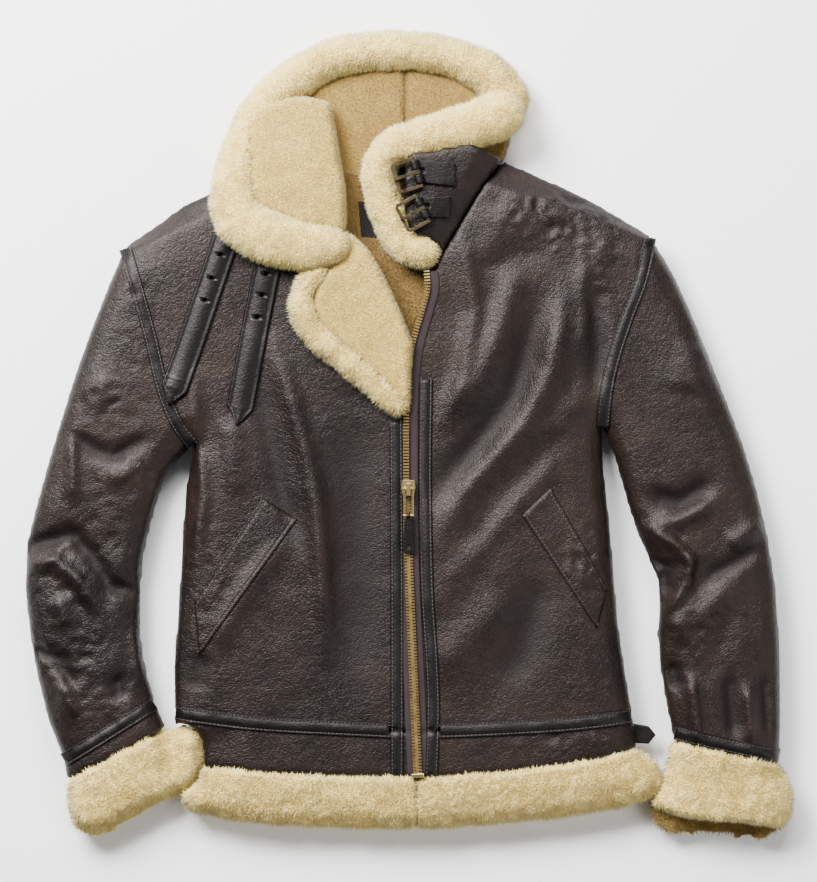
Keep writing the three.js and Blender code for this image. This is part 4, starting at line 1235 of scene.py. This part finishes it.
strap_ground = tree_of([*[skins[n] for n in skins if PANELS[n][0] == "top" and n != "collar_left"],
                        bpy.data.objects["armhole_tape_right_band"].data])
for node, (points, holes) in LONG_STRAPS.items():
    line = shifted(points)
    band = outward(ribbon(strap_ground, line, STRAP_WIDE, STRAP_THICK, rise=0.2, taper=pointed, step=1.5))
    punch = bmesh.new()
    for x, y in shifted(holes):
        height = height_on(strap_ground, x, y, 45.0)
        made = bmesh.ops.create_cone(punch, cap_ends=True, segments=16, radius1=HOLE_RADIUS / 1000,
                                     radius2=HOLE_RADIUS / 1000, depth=0.02)
        bmesh.ops.translate(punch, verts=made["verts"], vec=(x / 1000, y / 1000, height / 1000))
    tool_mesh = bpy.data.meshes.new("punch")
    punch.to_mesh(tool_mesh)
    punch.free()
    tool = hidden_object("punch", tool_mesh)
    band = baked(band, ("BOOLEAN", {"operation": "DIFFERENCE", "object": tool, "solver": "EXACT"}))
    bpy.data.objects.remove(tool)
    strap = finished(node + "_strap", band, trim_leather)
    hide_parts(node)
    runs = edge_runs(strap_ground, line, STRAP_WIDE, STRAP_THICK, 0.78, stop=0.90, step=2.0)
    back = np.array(line[0]) - np.array(line[-1])
    tip = walked(line, 1.5)[0][-1] + 3.5 * back / np.linalg.norm(back)
    tip_height = height_on(strap_ground, *tip, 40.0) + STRAP_THICK * 0.9
    runs = [run + [(tip[0], tip[1], tip_height)] for run in runs]
    sewn(node + "_stitches", runs, 3.6)
    print(node, len(band.polygons), "faces")

# %% Neck label and the fleece inside the neck
label = finished("label_woven", rounded("label", 0.0008, 2), label_cloth)
spots = places_of(label.data)
set_numbers(label.data, "across", spots[:, 0])
set_numbers(label.data, "along", spots[:, 1])
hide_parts("label")


# %% Fleece of the back panel, seen through the neck opening
NECK_FLEECE = (-78, 40, 92, 262)   # x from, x to, y from, y to
NECK_TOP = 21.6


def neck_fleece_mesh(step=3.0, thick=4.0):
    x0, x1, y0, y1 = NECK_FLEECE
    xs = np.arange(x0, x1 + step, step)
    ys = np.arange(y0, y1 + step, step)
    tops = [(x, y, NECK_TOP + 0.8 * noise.noise(Vector((x / 14, y / 14, 3.0)))) for y in ys for x in xs]
    wide = len(xs)
    faces = [(k, k + 1, k + wide + 1, k + wide)
             for k in (j * wide + i for j in range(len(ys) - 1) for i in range(wide - 1))]
    sheet = mesh_of(np.array(tops) / 1000, faces, "neck_fleece")
    return thickened(sheet, thick)


LABEL_BOX = (-0.050, 0.007, 0.197, 0.234)   # x from, x to, y from, y to, in metres: no locks under it
FLEECE_FACE = 0.019                         # height above which the fleece has locks, metres
neck = neck_fleece_mesh()
spots = places_of(neck)
under_label = ((spots[:, 0] > LABEL_BOX[0]) & (spots[:, 0] < LABEL_BOX[1])
               & (spots[:, 1] > LABEL_BOX[2]) & (spots[:, 1] < LABEL_BOX[3]))
set_numbers(neck, "cover", np.where(under_label | (spots[:, 2] < FLEECE_FACE), 0.0, 1.0))
set_numbers(neck, "shag", np.ones(len(spots)))
neck.attributes.new("lean", "FLOAT_VECTOR", "POINT").data.foreach_set("vector", np.zeros(len(spots) * 3))
# the fleece inside the neck takes the wool with painted shadow
neck_locks = grown(neck, fleece, Lock=lock, Density=420000.0, Length=0.003, Width=LOCK_WIDTH, Spread=0.6,
                   Seed=41, Material=painted_shadow_wool)
neck_piece = finished("neck_fleece", neck, painted_shadow_wool)
finished("neck_fleece_locks", neck_locks, painted_shadow_wool)

# %% [markdown]
# ## The photograph's view
#
# The coat is photographed from straight above on a white table, with soft light from the
# collar side. The camera stands four metres up with a long lens, so the sleeves are not
# widened by perspective.

# %% Camera
camera = bpy.data.cameras.new("camera")
camera.sensor_fit = "HORIZONTAL"
camera.sensor_width = 36.0
camera.lens = 175.3
eye = bpy.data.objects.new("camera", camera)
eye.location = (-0.00035, -0.00517, 4.0)
bpy.context.scene.collection.objects.link(eye)
bpy.context.scene.camera = eye

# %% Floor and lights
floor_corners = [(-6, -6, 0), (6, -6, 0), (6, 6, 0), (-6, 6, 0)]
floor = bpy.data.objects.new("floor", mesh_of(floor_corners, [(0, 1, 2, 3)], "floor"))
bpy.context.scene.collection.objects.link(floor)
floor.data.materials.append(Finish("pale_floor", Base_Color=(0.97, 0.97, 0.97), Roughness=0.9).material)

LIGHTS = [
    # name, place (m), size (m), watts
    ("key", (-1.25, 1.5, 1.9), 1.3, 315.0),
    ("fill", (2.2, -1.2, 2.0), 2.0, 50.0),
    ("top", (0.3, 2.3, 2.4), 1.6, 125.0),
]
for name, place, wide, watts in LIGHTS:
    lamp = bpy.data.lights.new(name, "AREA")
    lamp.size = wide
    lamp.energy = watts
    light = bpy.data.objects.new(name, lamp)
    light.location = place
    light.rotation_euler = (-Vector(place)).to_track_quat("-Z", "Y").to_euler()
    bpy.context.scene.collection.objects.link(light)

world = bpy.data.worlds.new("room")
world.use_nodes = True
background = world.node_tree.nodes["Background"]
background.inputs["Color"].default_value = (1, 1, 1, 1)
background.inputs["Strength"].default_value = 0.14
bpy.context.scene.world = world

# %% The finish: pattern objects removed
for pattern in (lock, stitch, tooth, pair):
    bpy.data.objects.remove(pattern)
